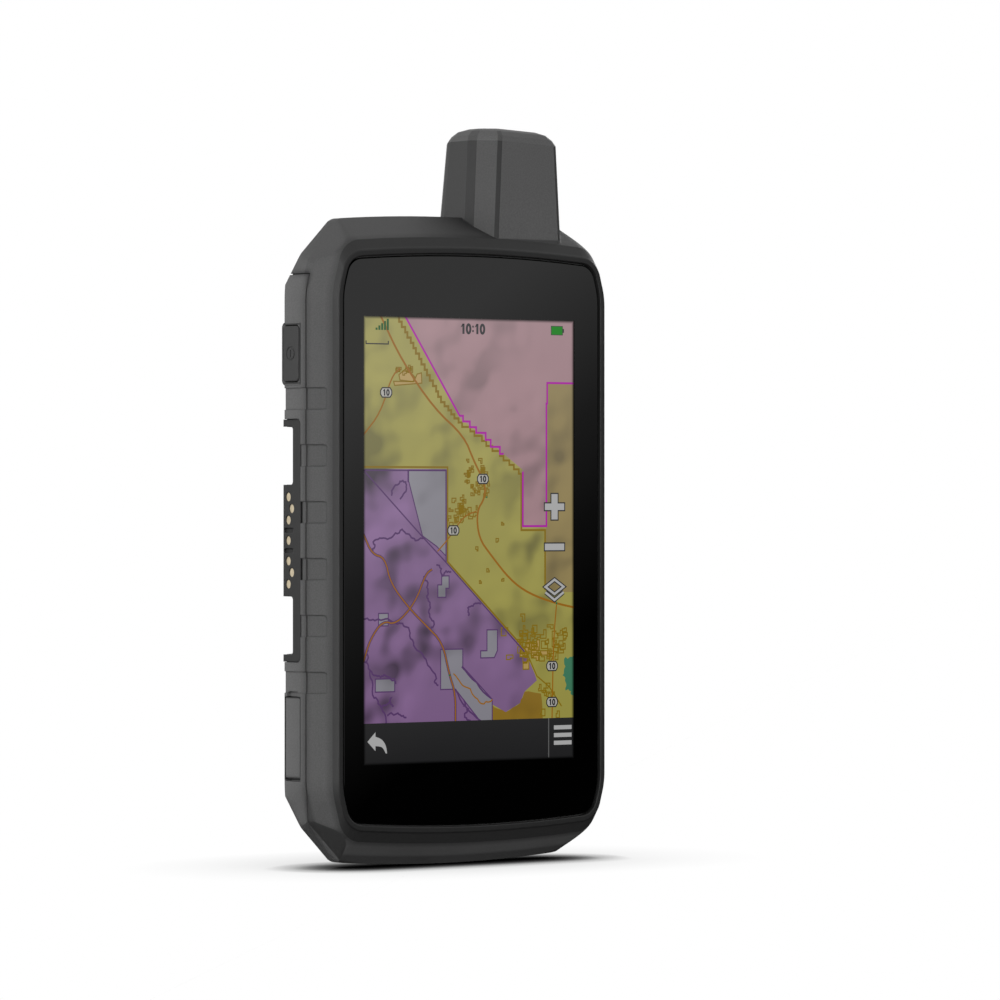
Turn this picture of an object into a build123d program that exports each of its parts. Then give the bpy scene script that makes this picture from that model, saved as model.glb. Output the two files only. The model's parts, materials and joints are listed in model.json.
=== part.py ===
"""Handheld satellite-navigation unit: a touch screen in a chamfered case with a stub antenna on top.

Lengths are in millimetres. +X is to the right of a person facing the screen, +Y runs from the screen to
the back, +Z is up. The origin is under the middle of the case, level with its lowest point.
Places are given by x, by d, the depth behind the front plane, and by h, the height above the case's middle.
"""

from build123d import *
import os
from functools import cache
from math import radians, sqrt, tan

# ---------------------------------------------------------------- driving dimensions
WIDTH = 92.4
DEPTH = 33.0
HEIGHT = 183.0
CASE_H = 160.6
FRONT = -DEPTH / 2
MID = CASE_H / 2
SIDE_X = -WIDTH / 2    # outermost face of the left side
FAR = 60.0             # reach in x or depth of a cut that runs past the case
TALL = 95.0            # the same in height

LEAN = 15.5            # how far the upper and lower sides lean inwards, degrees
CROWN_R = 430.0        # radius of the top and bottom edges
KINK_H = 61.0          # height at which the sides start to lean
KINK_R = 18.0
WALL_T = 2.2           # thickness of the housings
FIT = 0.1              # ordinary gap between pieces that are assembled together

RIM_D = 1.75           # depth of the raised rim round the glass
RIM_OUT = 1.75         # the rim's front edge is this far outside the glass
RIM_ROUND = 0.3
SLOPE_START = (42.2, 74.8, 6.5)        # half width, half height and corner where the front slope begins
SLOPE_D = 10.75        # depth at which the front slope ends
WALL_D = 9.35          # the side walls are straight behind this depth
BACK_D = 26.75         # depth of the case's flat back
FRONT_SLOPE = 0.616    # outward run of each slope for each millimetre of depth
WALL_SLOPE = 0.24
REAR_SLOPE = 1.19
REAR_FLAT = (33.5, 64.8, 92.3)         # half width, half height and corner cut of the flat back
WALL_CORNER = 8.0
FACET_SUM = 114.2      # x + h on the 45 degree corners of the side walls
CUT_SUM = 109.8        # x + h on the planes across the four corners, at the front plane
CUT_RUN = 0.3          # how much further out those planes are for each millimetre of depth

GLASS = (39.85, 70.3)  # half width, half height
GLASS_CORNER = 4.6
GLASS_EDGE = 0.3       # bevel round the front of the glass
GLASS_D = (0.45, 1.5)
GLASS_GAP = 0.4
LAND_D = 1.75          # depth of the ledge that the glass is bonded to
LAND_T = 1.5
ACTIVE = (32.9, 54.85)
DISPLAY_D = (3.0, 4.3)                 # back of the display panel and of its backlight
OPENING = (36.4, 60.5, 2.0)            # half width, half height and corner radius

SEAM_D = 7.6           # parting line between the two housings, at the sides
SEAM_LOW_D = 10.9      # the same along the bottom
SEAM_GAP = 0.3
SPLIT_H = 65.2         # above this height the front housing wraps over the top

BAND_PITCH = 13.83     # grip bands pressed into the sides
BAND_H = 5.3
BAND_SINK = 0.25
BAND_COUNT = 6

PANEL_H = 29.7         # half height of the docking panels
PANEL_D = (9.5, 17.6)
PANEL_T = 1.3
PANEL_LEAN = 0.09      # the panels lean in by this much for each millimetre of depth
PANEL_CORNER = 1.4
NOTCH_H = (13.7, 27.8)
NOTCH_X = 36.2
NOTCH_D = 13.2
NOTCH_CORNER = 0.9
LIP_H = 2.6            # half height of the two slots in front of the docking panel

KEY_H = 45.6
KEY_SIZE = (6.3, 13.6)
KEY_D = 13.1
KEY_OUT = 0.35
KEY_FOOT_X = -43.5     # the key's flange begins here
KEY_FLANGE_T = 0.6

PORT_H = (-58.7, -38.1)
PORT_D = (9.5, 15.9)
FLAP_T = 1.6
HINGE_X = -45.3
HINGE_H = -57.4
PIN_R = 0.4
PORT_PAD_X = -42.9     # inner face of the thick wall round the ports
SOCKET_X = (-44.3, -38.8)
USB_D = 12.7
USB_H = -50.5
USB_HALF = (1.4, 3.8)  # the socket's half depth and half height
TONGUE_HALF = 2.6
JACK_H = -42.6
JACK_R = 2.6

CONTACT_R = 1.05
CONTACT_SLOT_H = 2.5
CONTACT_BOARD_X = -42.2
CONTACTS = [(15.3, 10.65), (13.7, 7.8), (15.3, 5.0), (15.3, 0.0), (15.3, -5.0), (13.7, -7.8), (15.3, -10.65)]

BAY_WALL = 1.4
BAY_X = 27.0
BAY_H = (-52.0, 20.0)
BAY_D = 16.2
PACK_D = (16.4, 30.9)
DOOR_X = 33.2          # the battery door's foot
DOOR_H = (-58.5, 41.5)
DOOR_D = 26.85
DOOR_SEAL = (31.3, -56.5, 39.5)        # half width, foot and top of the seal's outline
DOOR_SEAL_W = 1.2
DOOR_SEAL_SINK = 0.8
DOOR_RUN = 3.4         # how far the door's sides slope in
DOOR_CORNER = 6.0
GRIP_COUNT = 5         # finger grooves across the door's foot
GRIP_H = -46.0
GRIP_PITCH = 4.5
LATCH_H = 30.4
LATCH_R = 8.6          # round recess that holds the folded ring
LATCH_D = 30.3
RING_R = 6.9
RING_WIRE = 0.9
RING_D = 31.7
SHAFT_R = 1.9
KEYHOLE = (7.4, 2.9)   # half width and half height of the slot that the latch's cam passes through
CAM = (7.0, 2.5)
CAM_D = (23.5, 25.2)
SHAFT_FOOT_D = 24.5    # the shaft ends inside the cam
CUP_D = 20.9           # front of the cup that the cam turns in
TAB_X = (-16.0, 16.0)
TAB_HALF = 4.0
TAB_D = 25.3
TAB_H = (-57.1, -56.6)
TERMINAL_X = (-6.0, -2.0, 2.0, 6.0)
TERMINAL_H = 12.0
TERMINAL_HALF = (1.3, 2.5)
SPRING_R = 0.7

ANTENNA_X = 18.65
ANTENNA_FOOT = (15.35, 1.8, 26.6)      # half width, front and back depth, at the foot
ANTENNA_TOP = (13.35, 2.15, 23.9)      # the same at the shoulder
ANTENNA_FOOT_H = 62.0  # the foot is buried in the case
ANTENNA_SHOULDER_H = 98.9
ANTENNA_CROWN = ((0.75, 100.3), (2.3, 101.6), (4.6, HEIGHT - MID - 0.35))     # inset and height of each step
ANTENNA_TILT = 2.5
ANTENNA_CORNER = ((5.2, 0.0), (4.1, 0.5), (1.0, 4.9), (0.0, 7.4))

HELIX_R = 6.2
HELIX_BORE = 5.2
HELIX_D = 13.3
HELIX_H = (74.5, 94.0)
STRIP_T = 0.4
COAX_R = 0.7
COAX_D = 11.5

BOARD_D = (8.6, 9.6)
BOARD_X = 37.2
BOARD_H = (-66.0, 61.5)
CHASSIS_D = (5.1, 6.0)
SCREW_R = 0.8
FRONT_BOSS_R = 2.7
REAR_BOSS_R = 3.2
BOSS_D = (2.15, 12.3, 24.0)            # the front bosses end, and the rear ones begin, at the middle depth
CASE_SCREW_D = (7.0, 18.2, 19.8)       # tip, seat and top of each case screw
HEAD_POCKET_R = 2.3
CASE_SCREWS = [(x, h) for x in (-40.2, 40.2) for h in (-62.5, -33.5, 33.5, 59.5)]
BOARD_SCREWS = [(x, h) for x in (-33.5, 33.5) for h in (-60.5, 56.5)]


# ---------------------------------------------------------------- helpers
def block(xs, ds, hs):
    """Box between limits in x, depth and height."""
    spans = (xs, ds, hs)
    size = [high - low for low, high in spans]
    mid = [(high + low) / 2 for low, high in spans]
    return Pos(mid[0], FRONT + mid[1], MID + mid[2]) * Box(*size)


def rod_y(radius, ds, x, h):
    """Cylinder along the depth."""
    return Pos(x, FRONT + sum(ds) / 2, MID + h) * Rot(90, 0, 0) * Cylinder(radius, ds[1] - ds[0])


def rod_x(radius, xs, d, h):
    """Cylinder along x."""
    return Pos(sum(xs) / 2, FRONT + d, MID + h) * Rot(0, 90, 0) * Cylinder(radius, xs[1] - xs[0])


def rod_z(radius, x, d, hs):
    """Upright cylinder."""
    return Pos(x, FRONT + d, MID + sum(hs) / 2) * Cylinder(radius, hs[1] - hs[0])


def at_depth(d):
    """Plane facing the front, whose own x and y are the object's x and height."""
    return Plane(origin=(0, FRONT + d, MID), x_dir=(1, 0, 0), z_dir=(0, -1, 0))


def slab(face, d0, d1):
    """Solid between two depths with this face as its section."""
    return extrude(at_depth(d1) * face, d1 - d0)


def taper(face0, d0, face1, d1):
    """Solid whose flat-sided walls run from one section to another."""
    return loft([at_depth(d0) * face0, at_depth(d1) * face1], ruled=True)


def plate_yz(xs, ds, hs, corner):
    """Plate facing sideways, with rounded corners."""
    plane = Plane(origin=(xs[0], FRONT + sum(ds) / 2, MID + sum(hs) / 2), x_dir=(0, 1, 0), z_dir=(1, 0, 0))
    return extrude(plane * RectangleRounded(ds[1] - ds[0], hs[1] - hs[0], corner), xs[1] - xs[0])


def window(half_w, hs, corner):
    """Rounded rectangle in the front view."""
    return Pos(0, sum(hs) / 2) * RectangleRounded(2 * half_w, hs[1] - hs[0], corner)


def both_sides(solid):
    """The solid and its mirror image on the other side."""
    return solid + mirror(solid, Plane.YZ)


# ---------------------------------------------------------------- outlines in the front view
def on_crown(half_h, x, radius=CROWN_R):
    return half_h - radius + sqrt(radius**2 - x**2)


def outline(half_w, half_h, corner_r, facet=None):
    """Case outline: straight sides that lean in above the kink, then a corner and a crowned top.

    With facet, the corner is cut at 45 degrees on the line x + height = facet.
    """
    run = tan(radians(LEAN))
    h = half_h
    x = half_w
    for _ in range(12):
        x = half_w - run * (h - KINK_H) if facet is None else facet - h
        h = on_crown(half_h, x)
    quarter = [(half_w, KINK_H), (x, h)]
    if facet is not None:
        low = (facet - half_w - run * KINK_H) / (1 - run)
        quarter.insert(1, (facet - low, low))
    right = [(px, -ph) for px, ph in reversed(quarter)] + quarter
    left = [(-px, -ph) for px, ph in right]
    edges = [Line(a, b) for a, b in zip(right, right[1:])]
    edges.append(ThreePointArc((x, h), (0, half_h), (-x, h)))
    edges += [Line(a, b) for a, b in zip(left, left[1:])]
    edges.append(ThreePointArc((-x, -h), (0, -half_h), (x, -h)))
    face = make_face(Wire([e.edge() for e in edges])).face()
    kinks = [v for v in face.vertices() if abs(abs(v.Y) - KINK_H) < 0.01]
    face = face.fillet_2d(KINK_R, kinks)
    corners = [v for v in face.vertices() if abs(v.Y) > KINK_H + 4.5]
    return face.fillet_2d(corner_r, corners)


def glass_outline(grow):
    return outline(GLASS[0] + grow, GLASS[1] + grow, GLASS_CORNER + grow)


def slope_outline(d, inset=0.0):
    """Section of the front slope."""
    half_w, half_h, corner = SLOPE_START
    grow = FRONT_SLOPE * (d - RIM_D) - sqrt(1 + FRONT_SLOPE**2) * inset
    return outline(half_w + grow, half_h + grow, corner + 0.4 * grow)


def wall_outline(inset):
    return outline(WIDTH / 2 - inset, CASE_H / 2 - inset, WALL_CORNER, facet=FACET_SUM - sqrt(2) * inset)


def cut_rectangle(half_w, half_h, facet):
    """Rectangle with its corners cut at 45 degrees on the line x + height = facet."""
    quarter = [(half_w, facet - half_w), (facet - half_h, half_h)]
    upper = quarter + [(-x, h) for x, h in reversed(quarter)]
    return Polygon(*upper, *[(-x, -h) for x, h in upper], align=None)


def rear_outline(d, inset=0.0):
    """Section of the rear slope."""
    grow = REAR_SLOPE * (BACK_D - d) - sqrt(1 + REAR_SLOPE**2) * inset
    half_w, half_h, facet = REAR_FLAT
    return cut_rectangle(half_w + grow, half_h + grow, facet + 1.3 * grow)


def corner_outline(d, inset=0.0):
    """Section of the planes across the corners, well clear of the case elsewhere."""
    return cut_rectangle(FAR, TALL, CUT_SUM + CUT_RUN * d - sqrt(2) * inset)


@cache
def envelope(inset=0.0):
    """The closed outside form of the case, or the same form drawn further in."""
    front = slab(slope_outline(SLOPE_D, inset), SLOPE_D, BACK_D)
    front += taper(slope_outline(RIM_D, inset), RIM_D, slope_outline(SLOPE_D, inset), SLOPE_D)
    if inset == 0:
        front += taper(glass_outline(RIM_OUT), 0, slope_outline(RIM_D), RIM_D)
    walls = taper(wall_outline(inset + WALL_SLOPE * WALL_D), 0, wall_outline(inset), WALL_D)
    walls += slab(wall_outline(inset), WALL_D, BACK_D)
    back = taper(rear_outline(0, inset), 0, rear_outline(BACK_D - inset, inset), BACK_D - inset)
    corners = taper(corner_outline(0, inset), 0, corner_outline(BACK_D, inset), BACK_D)
    form = front & walls & back & corners
    if inset == 0:
        rim = [e for e in form.edges() if e.bounding_box().max.Y < FRONT + 0.01]
        form = fillet(rim, RIM_ROUND)
    return form


def antenna_section(size, h, inset=0.0):
    """Twelve-sided section of the stub antenna."""
    half_w, front, back = size
    half_w -= inset
    mid = (front + back) / 2
    half_d = (back - front) / 2 - inset
    size_down = min(1.0, half_d / 10.4)
    corner = [(half_w - a * size_down, half_d - b * size_down) for a, b in ANTENNA_CORNER]
    right = [(x, -y) for x, y in corner] + [(x, y) for x, y in reversed(corner)]
    points = right + [(-x, -y) for x, y in right]
    plane = Plane(origin=(ANTENNA_X, FRONT + mid, MID + h), z_dir=(0, 0, 1))
    return plane.rotated((0, ANTENNA_TILT, 0)) * Polygon(*points, align=None)


def antenna_form(inset=0.0):
    """Tapered stub with a crowned top."""
    half_w, front, back = ANTENNA_TOP
    sections = [antenna_section(ANTENNA_FOOT, ANTENNA_FOOT_H, inset)]
    sections.append(antenna_section(ANTENNA_TOP, ANTENNA_SHOULDER_H - inset, inset))
    for step, h in ANTENNA_CROWN:
        sections.append(antenna_section((half_w - step, front + step, back - step), h - inset, inset))
    form = loft(sections[:2], ruled=True)
    for low, high in zip(sections[1:], sections[2:]):
        form += loft([low, high], ruled=True)
    return form


@cache
def front_side():
    """Everything on the front housing's side of the parting line."""
    profile = [
        (-1, -TALL), (SEAM_LOW_D, -TALL), (SEAM_LOW_D, -75), (SEAM_D, -62),
        (SEAM_D, SPLIT_H), (FAR, SPLIT_H), (FAR, HEIGHT), (-1, HEIGHT),
    ]
    plane = Plane(origin=(-FAR, FRONT, MID), x_dir=(0, 1, 0), z_dir=(1, 0, 0))
    return extrude(plane * Polygon(*profile, align=None), 2 * FAR)


@cache
def grip_bands():
    """Rings that press the bands into the sides of the case."""
    skin = envelope() - envelope(BAND_SINK)
    bands = []
    for i in range(BAND_COUNT):
        h = (i - (BAND_COUNT - 1) / 2) * BAND_PITCH
        strip = plate_yz((-FAR, FAR), (3.0, 30), (h - BAND_H / 2, h + BAND_H / 2), 1.0)
        bands.append(skin & strip)
    return bands


def panel_strip(outer, inner, half_h, ds=PANEL_D):
    """Slanted strip of the left side wall, measured in x from the docking panel's outer face."""
    face = [SIDE_X + 0.05 + PANEL_LEAN * (d - PANEL_D[0]) for d in ds]
    points = [
        (face[0] - outer, ds[0]), (face[1] - outer, ds[1]),
        (face[1] + inner, ds[1]), (face[0] + inner, ds[0]),
    ]
    plane = Plane(origin=(0, FRONT, MID), z_dir=(0, 0, 1))
    strip = extrude(plane * Polygon(*points, align=None), half_h, both=True)
    return strip & plate_yz((-FAR, 0), (ds[0], FAR), (-half_h, half_h), PANEL_CORNER)


def notches(grow):
    """Blocks of the two docking notches in the left rear edge, grown by a margin."""
    solids = []
    for side in (-1, 1):
        hs = sorted((side * (NOTCH_H[0] - grow), side * (NOTCH_H[1] + grow)))
        solids.append(plate_yz((-FAR, -NOTCH_X + grow), (NOTCH_D - grow, 45), hs, NOTCH_CORNER))
    return solids


# ---------------------------------------------------------------- housings
@cache
def case_hollow():
    """Inside of the case, behind the ledge that carries the glass."""
    return envelope(WALL_T) & block((-FAR, FAR), (LAND_D + LAND_T, FAR), (-TALL, TALL))


def screen_opening():
    """Window through the ledge, for the screen."""
    half_w, half_h, corner = OPENING
    return slab(window(half_w, (-half_h, half_h), corner), 0, 5)


def front_housing():
    body = (envelope() + antenna_form()) & front_side()
    for band in grip_bands():
        body -= band
    body -= slab(glass_outline(GLASS_GAP), -1, LAND_D)
    body -= screen_opening()
    body -= case_hollow()
    body -= antenna_form(WALL_T)
    outside = envelope(0.5)
    for x, h in CASE_SCREWS:
        body += rod_y(FRONT_BOSS_R, BOSS_D[:2], x, h) & outside
        body -= rod_y(SCREW_R + 0.02, (CASE_SCREW_D[0] - 0.5, BOSS_D[1] + 1), x, h)
    return body


def seal_ring(grow, d0, d1):
    """Ring round the battery bay, wider on both sides by a margin."""
    half_w, low, high = DOOR_SEAL
    narrow = DOOR_SEAL_W + grow
    outer = slab(window(half_w + grow, (low - grow, high + grow), 5), d0, d1)
    return outer - slab(window(half_w - narrow, (low + narrow, high - narrow), 4), d0 - 1, d1 + 1)


def rear_stiffening():
    """Walls and bosses inside the rear case, before they are trimmed to its outside."""
    pieces = [rod_y(REAR_BOSS_R, (BOSS_D[1] + FIT, BOSS_D[2]), x, h) for x, h in CASE_SCREWS]
    sleeve = panel_strip(-0.5, PANEL_T + 1.2, PANEL_H + 1.0, (PANEL_D[0] - 0.6, 22))
    pieces += [both_sides(piece) for piece in [sleeve, *notches(1.5)]]
    pad_h = (PORT_H[0] - 1, PORT_H[1] + 1)
    pieces.append(block((-45.5, PORT_PAD_X), (PORT_D[0] - 0.6, PORT_D[1] + 1.3), pad_h))
    return pieces


def latch_openings():
    """Space that the battery door's latch and tabs need in the rear case."""
    half_w, half_h = KEYHOLE
    floor_d = CUP_D + BAY_WALL
    shapes = [rod_y(half_w, (floor_d, BACK_D - 1.1), 0, LATCH_H)]
    shapes.append(block((-half_w, half_w), (floor_d, FAR), (LATCH_H - half_h, LATCH_H + half_h)))
    for x in TAB_X:
        wide = TAB_HALF + 0.3
        shapes.append(block((x - wide, x + wide), (TAB_D - 0.2, FAR), (TAB_H[0] - 0.2, TAB_H[1] + 0.2)))
    return shapes


def left_side_openings():
    """Cuts for the power key, the port cover with its hinge, both sockets and the contact pins."""
    shapes = [rod_x(CONTACT_R / 2 + FIT, (-46, -41), d, h) for d, h in CONTACTS]
    for h in (-BAND_PITCH / 2, BAND_PITCH / 2):
        lip_d = (PANEL_D[0] - 0.5, PANEL_D[0] + FIT)
        shapes.append(plate_yz((-50, -45.6), lip_d, (h - LIP_H, h + LIP_H), 0.2))
    shapes.append(key_plate((-50, -40), 0.2, 1.2))
    shapes.append(key_plate((KEY_FOOT_X - 0.6, -42), 0.8, 1.2))
    shapes.append(rod_y(PIN_R + 0.02, (PORT_D[0] - 1.0, PORT_D[1] + 1.0), HINGE_X, HINGE_H))
    shapes.append(plate_yz((-50, SIDE_X + FLAP_T + 0.15), PORT_D, PORT_H, 0.5))
    finger_d = (PORT_D[0] + 1.1, PORT_D[1] - 0.7)
    shapes.append(plate_yz((-50, SIDE_X + 1.0), finger_d, (PORT_H[1] - 1, PORT_H[1] + 1.3), 0.9))
    shapes.append(usb_block((-50, -40), 0.15))
    shapes.append(rod_x(JACK_R + 0.3, (-50, -40), USB_D, JACK_H))
    return shapes


def rear_case():
    body = envelope() - front_side() - Pos(0, SEAM_GAP, -SEAM_GAP) * front_side()
    outside = envelope()
    for band in grip_bands():
        body -= band
    body -= case_hollow()
    bay_x = BAY_X + BAY_WALL
    body += block((-bay_x, bay_x), (BAY_D - BAY_WALL, BACK_D), (BAY_H[0] - BAY_WALL, BAY_H[1] + BAY_WALL))
    body += rod_y(LATCH_R + 1.0, (CUP_D, BACK_D), 0, LATCH_H)
    for piece in rear_stiffening():
        body += piece & outside
    for notch in notches(0) + [panel_strip(5, PANEL_T, PANEL_H, (PANEL_D[0], PANEL_D[1] + FIT))]:
        body -= both_sides(notch)
    body -= block((-BAY_X, BAY_X), (BAY_D, FAR), BAY_H)
    body -= seal_ring(FIT, BACK_D - DOOR_SEAL_SINK, BACK_D)
    for x, h in CASE_SCREWS:
        body -= rod_y(SCREW_R + 0.3, (12, 19), x, h)
        body -= rod_y(HEAD_POCKET_R, (CASE_SCREW_D[1], FAR), x, h)
    surround = plate_yz((-46.3, -46.0), (8.9, 17.0), (KEY_H - 7.7, KEY_H + 7.7), 1.4)
    body += surround & block((-FAR, 0), (9.4, FAR), (-TALL, TALL))
    for opening in latch_openings() + left_side_openings():
        body -= opening
    body -= on_bay_floor(8.2, (8.4, 15.6))
    body -= on_bay_floor(9.0, (-34, -16))
    return body


def on_bay_floor(half_w, hs):
    """Block that cuts a window through the floor of the battery bay."""
    return block((-half_w, half_w), (BAY_D - 2, BAY_D + 1), hs)


def case_seal():
    """Rubber ring in the parting line."""
    gap = (Pos(0, SEAM_GAP, -SEAM_GAP) * front_side()) - front_side()
    return (envelope(0.5) - envelope(WALL_T)) & gap


# ---------------------------------------------------------------- screen
def cover_glass():
    bevel_d = GLASS_D[0] + GLASS_EDGE
    bevel = taper(glass_outline(-GLASS_EDGE), GLASS_D[0], glass_outline(0), bevel_d)
    return bevel + slab(glass_outline(0), bevel_d, GLASS_D[1])


def bond_tape():
    return slab(glass_outline(-GLASS_EDGE), GLASS_D[1], LAND_D) - screen_opening()


def screen_plate(grow, d0, d1):
    """Flat layer of the screen, larger all round than the lit area by the margin."""
    return block((-ACTIVE[0] - grow, ACTIVE[0] + grow), (d0, d1), (-ACTIVE[1] - grow, ACTIVE[1] + grow))


def display_flex():
    """Ribbon that leaves the foot of the display and folds round to the main board."""
    path = [(4.3, -58.4), (4.3, -63.5), (8.1, -63.5), (8.1, -50.0)]
    back = [(7.9, -50.0), (7.9, -63.3), (4.5, -63.3), (4.5, -58.4)]
    plane = Plane(origin=(-9, FRONT, MID), x_dir=(0, 1, 0), z_dir=(1, 0, 0))
    return extrude(plane * Polygon(*path, *back, align=None), 18)


# ---------------------------------------------------------------- boards and what is on them
def chassis_plate():
    body = block((-41.5, 41.5), CHASSIS_D, (-61.8, 68)) & envelope(WALL_T + 0.4)
    body -= block((-10, 10), (4, 7), (-70, -56))
    for x, h in CASE_SCREWS:
        body -= rod_y(FRONT_BOSS_R + 0.2, (4, 7), x, h)
    for x, h in BOARD_SCREWS:
        body += rod_y(2.4, (CHASSIS_D[0], BOARD_D[0]), x, h)
        body -= rod_y(SCREW_R + 0.02, (CHASSIS_D[0] + 0.5, BOARD_D[0] + 1), x, h)
    return body


def main_board():
    body = block((-BOARD_X, BOARD_X), BOARD_D, BOARD_H)
    for x, h in BOARD_SCREWS:
        body -= rod_y(SCREW_R + 0.15, (8, 10), x, h)
    return body


def screws(places, tip, seat, top, head_r):
    """Group of pan-head screws driven from the back, with a cross in each head."""
    group = []
    reach, half = 1.1, 0.25
    for x, h in places:
        screw = rod_y(SCREW_R, (tip, seat), x, h) + rod_y(head_r, (seat, top), x, h)
        for across, up in ((half, reach), (reach, half)):
            screw -= block((x - across, x + across), (top - 0.6, FAR), (h - up, h + up))
        group.append(screw)
    return group


def shield_can(x, h, width, height, rise):
    """Tinned cover over a group of chips, open towards the board."""
    sheet = 0.3
    half_w, half_h = width / 2, height / 2
    outer = on_board((x - half_w, x + half_w), rise, (h - half_h, h + half_h))
    half_w -= sheet
    half_h -= sheet
    return outer - on_board((x - half_w, x + half_w), rise - sheet, (h - half_h, h + half_h))


def helix_tube(radius, hs):
    """Upright cylinder on the satellite antenna's axis."""
    return rod_z(radius, ANTENNA_X, HELIX_D, hs)


def helix_strips():
    """Four copper strips wound round the helix core."""
    rise = HELIX_H[1] - HELIX_H[0] - 2
    path = Pos(ANTENNA_X, FRONT + HELIX_D, MID + HELIX_H[0] + 1) * Helix(rise * 2, rise, HELIX_R + 0.25)
    start = path @ 0
    profile = Plane(origin=start, z_dir=path % 0) * Rectangle(STRIP_T, STRIP_T)
    strip = sweep(profile, path=path, is_frenet=True)
    axis = Axis((ANTENNA_X, FRONT + HELIX_D, 0), (0, 0, 1))
    return [strip.rotate(axis, 90 * i) for i in range(4)]


def coax_lead():
    """Thin coaxial cable from the satellite antenna's board down to the main board."""
    x = ANTENNA_X
    points = [
        (x, FRONT + HELIX_D, MID + HELIX_H[0] - 1.0),
        (x, FRONT + HELIX_D, MID + 62),
        (x, FRONT + COAX_D, MID + 57),
        (x, FRONT + COAX_D, MID + 50),
    ]
    path = FilletPolyline(*points, radius=3.0)
    profile = Plane(origin=path @ 0, z_dir=path % 0) * Circle(COAX_R)
    return sweep(profile, path=path)


# ---------------------------------------------------------------- left side
def key_plate(xs, grow, corner):
    """Plate with the power key's outline, larger all round by a margin."""
    half_d = KEY_SIZE[0] / 2 + grow
    half_h = KEY_SIZE[1] / 2 + grow
    return plate_yz(xs, (KEY_D - half_d, KEY_D + half_d), (KEY_H - half_h, KEY_H + half_h), corner)


def power_key():
    face_x = SIDE_X - KEY_OUT
    cap = key_plate((face_x, KEY_FOOT_X), 0, 1.0)
    outer = cap.faces().sort_by(Axis.X)[0]
    cap = fillet(outer.edges(), 0.35)
    mark_x = (face_x, face_x + 0.15)
    cap -= rod_x(1.75, mark_x, KEY_D, KEY_H) - rod_x(1.35, mark_x, KEY_D, KEY_H)
    cap -= block(mark_x, (KEY_D - 0.2, KEY_D + 0.2), (KEY_H - 0.9, KEY_H + 0.9))
    return cap + key_plate((KEY_FOOT_X, KEY_FOOT_X + KEY_FLANGE_T), 0.4, 1.2)


def key_seal():
    outer = key_plate((KEY_FOOT_X - 0.48, KEY_FOOT_X - 0.08), 0.5, 1.2)
    return outer - key_plate((-50, -40), 0.06, 1.0)


def key_switch():
    body = block((-41.7, -40.2), (KEY_D - 1.8, KEY_D + 1.8), (KEY_H - 3.0, KEY_H + 3.0))
    return body + rod_x(0.9, (-42.35, -41.7), KEY_D, KEY_H)


def panel_blank():
    """Smooth docking panel, with the notches cut out of it."""
    body = panel_strip(0, PANEL_T, PANEL_H - FIT, (PANEL_D[0] + FIT, PANEL_D[1]))
    for notch in notches(0.05):
        body -= notch
    return body


def contact_panel():
    body = panel_blank()
    for d, h in CONTACTS:
        body -= rod_x(CONTACT_R + 0.05, (-50, -40), d, h)
    for h in (-CONTACT_SLOT_H, CONTACT_SLOT_H):
        body -= plate_yz((-50, -45.0), (12.9, 17.1), (h - 0.55, h + 0.55), 0.5)
    return body


def contact_pins():
    group = []
    for d, h in CONTACTS:
        head = rod_x(CONTACT_R, (SIDE_X, -43.0), d, h) & panel_strip(-0.12, PANEL_T, PANEL_H)
        group.append(head + rod_x(CONTACT_R / 2, (-44.5, CONTACT_BOARD_X), d, h))
    return group


def dock_panel_right():
    return mirror(panel_blank(), Plane.YZ)


def port_cover():
    """Rubber flap with a hinge knuckle at its foot and a plug for each socket on its inner face."""
    face_x = SIDE_X + 0.05
    ds = (PORT_D[0] + 0.12, PORT_D[1] - 0.12)
    body = plate_yz((face_x, face_x + FLAP_T), ds, (HINGE_H - 0.8, PORT_H[1] - 0.15), 0.7)
    body -= block((-47, -44), (0, FAR), (-70, HINGE_H))
    body += rod_y(2 * PIN_R, ds, HINGE_X, HINGE_H)
    plug_x = (face_x + FLAP_T - 0.15, SOCKET_X[0] + 0.7)
    body += block(plug_x, (USB_D - 0.8, USB_D + 0.8), (USB_H - TONGUE_HALF, USB_H + TONGUE_HALF))
    body += rod_x(1.2, plug_x, USB_D, JACK_H)
    return body - rod_y(PIN_R + 0.05, (0, FAR), HINGE_X, HINGE_H)


def port_cover_pin():
    return rod_y(PIN_R, (PORT_D[0] - 0.9, PORT_D[1] + 0.9), HINGE_X, HINGE_H)


def usb_block(xs, grow):
    """Block with the USB socket's outline, larger all round by a margin."""
    half_d = USB_HALF[0] + grow
    half_h = USB_HALF[1] + grow
    return block(xs, (USB_D - half_d, USB_D + half_d), (USB_H - half_h, USB_H + half_h))


def usb_socket():
    return usb_block(SOCKET_X, 0) - usb_block((-50, SOCKET_X[1] - 0.5), -0.3)


def usb_tongue():
    tongue_x = (SOCKET_X[0] + 0.7, SOCKET_X[1] - 0.5)
    return block(tongue_x, (USB_D - 0.3, USB_D + 0.3), (USB_H - TONGUE_HALF, USB_H + TONGUE_HALF))


def antenna_jack():
    body = rod_x(JACK_R, SOCKET_X, USB_D, JACK_H)
    body -= rod_x(1.75, (-50, -40.0), USB_D, JACK_H)
    return body + rod_x(0.3, (-43.4, -39.5), USB_D, JACK_H)


# ---------------------------------------------------------------- battery, door and latch
def battery_pack():
    body = block((-BAY_X + 0.35, BAY_X - 0.35), PACK_D, (BAY_H[0] + 0.35, BAY_H[1] - 0.35))
    body = fillet(body.edges().filter_by(Axis.Y), 2.2)
    for recess in terminals((PACK_D[0] - 1, PACK_D[0] + 0.4)):
        body -= recess
    return body


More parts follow.
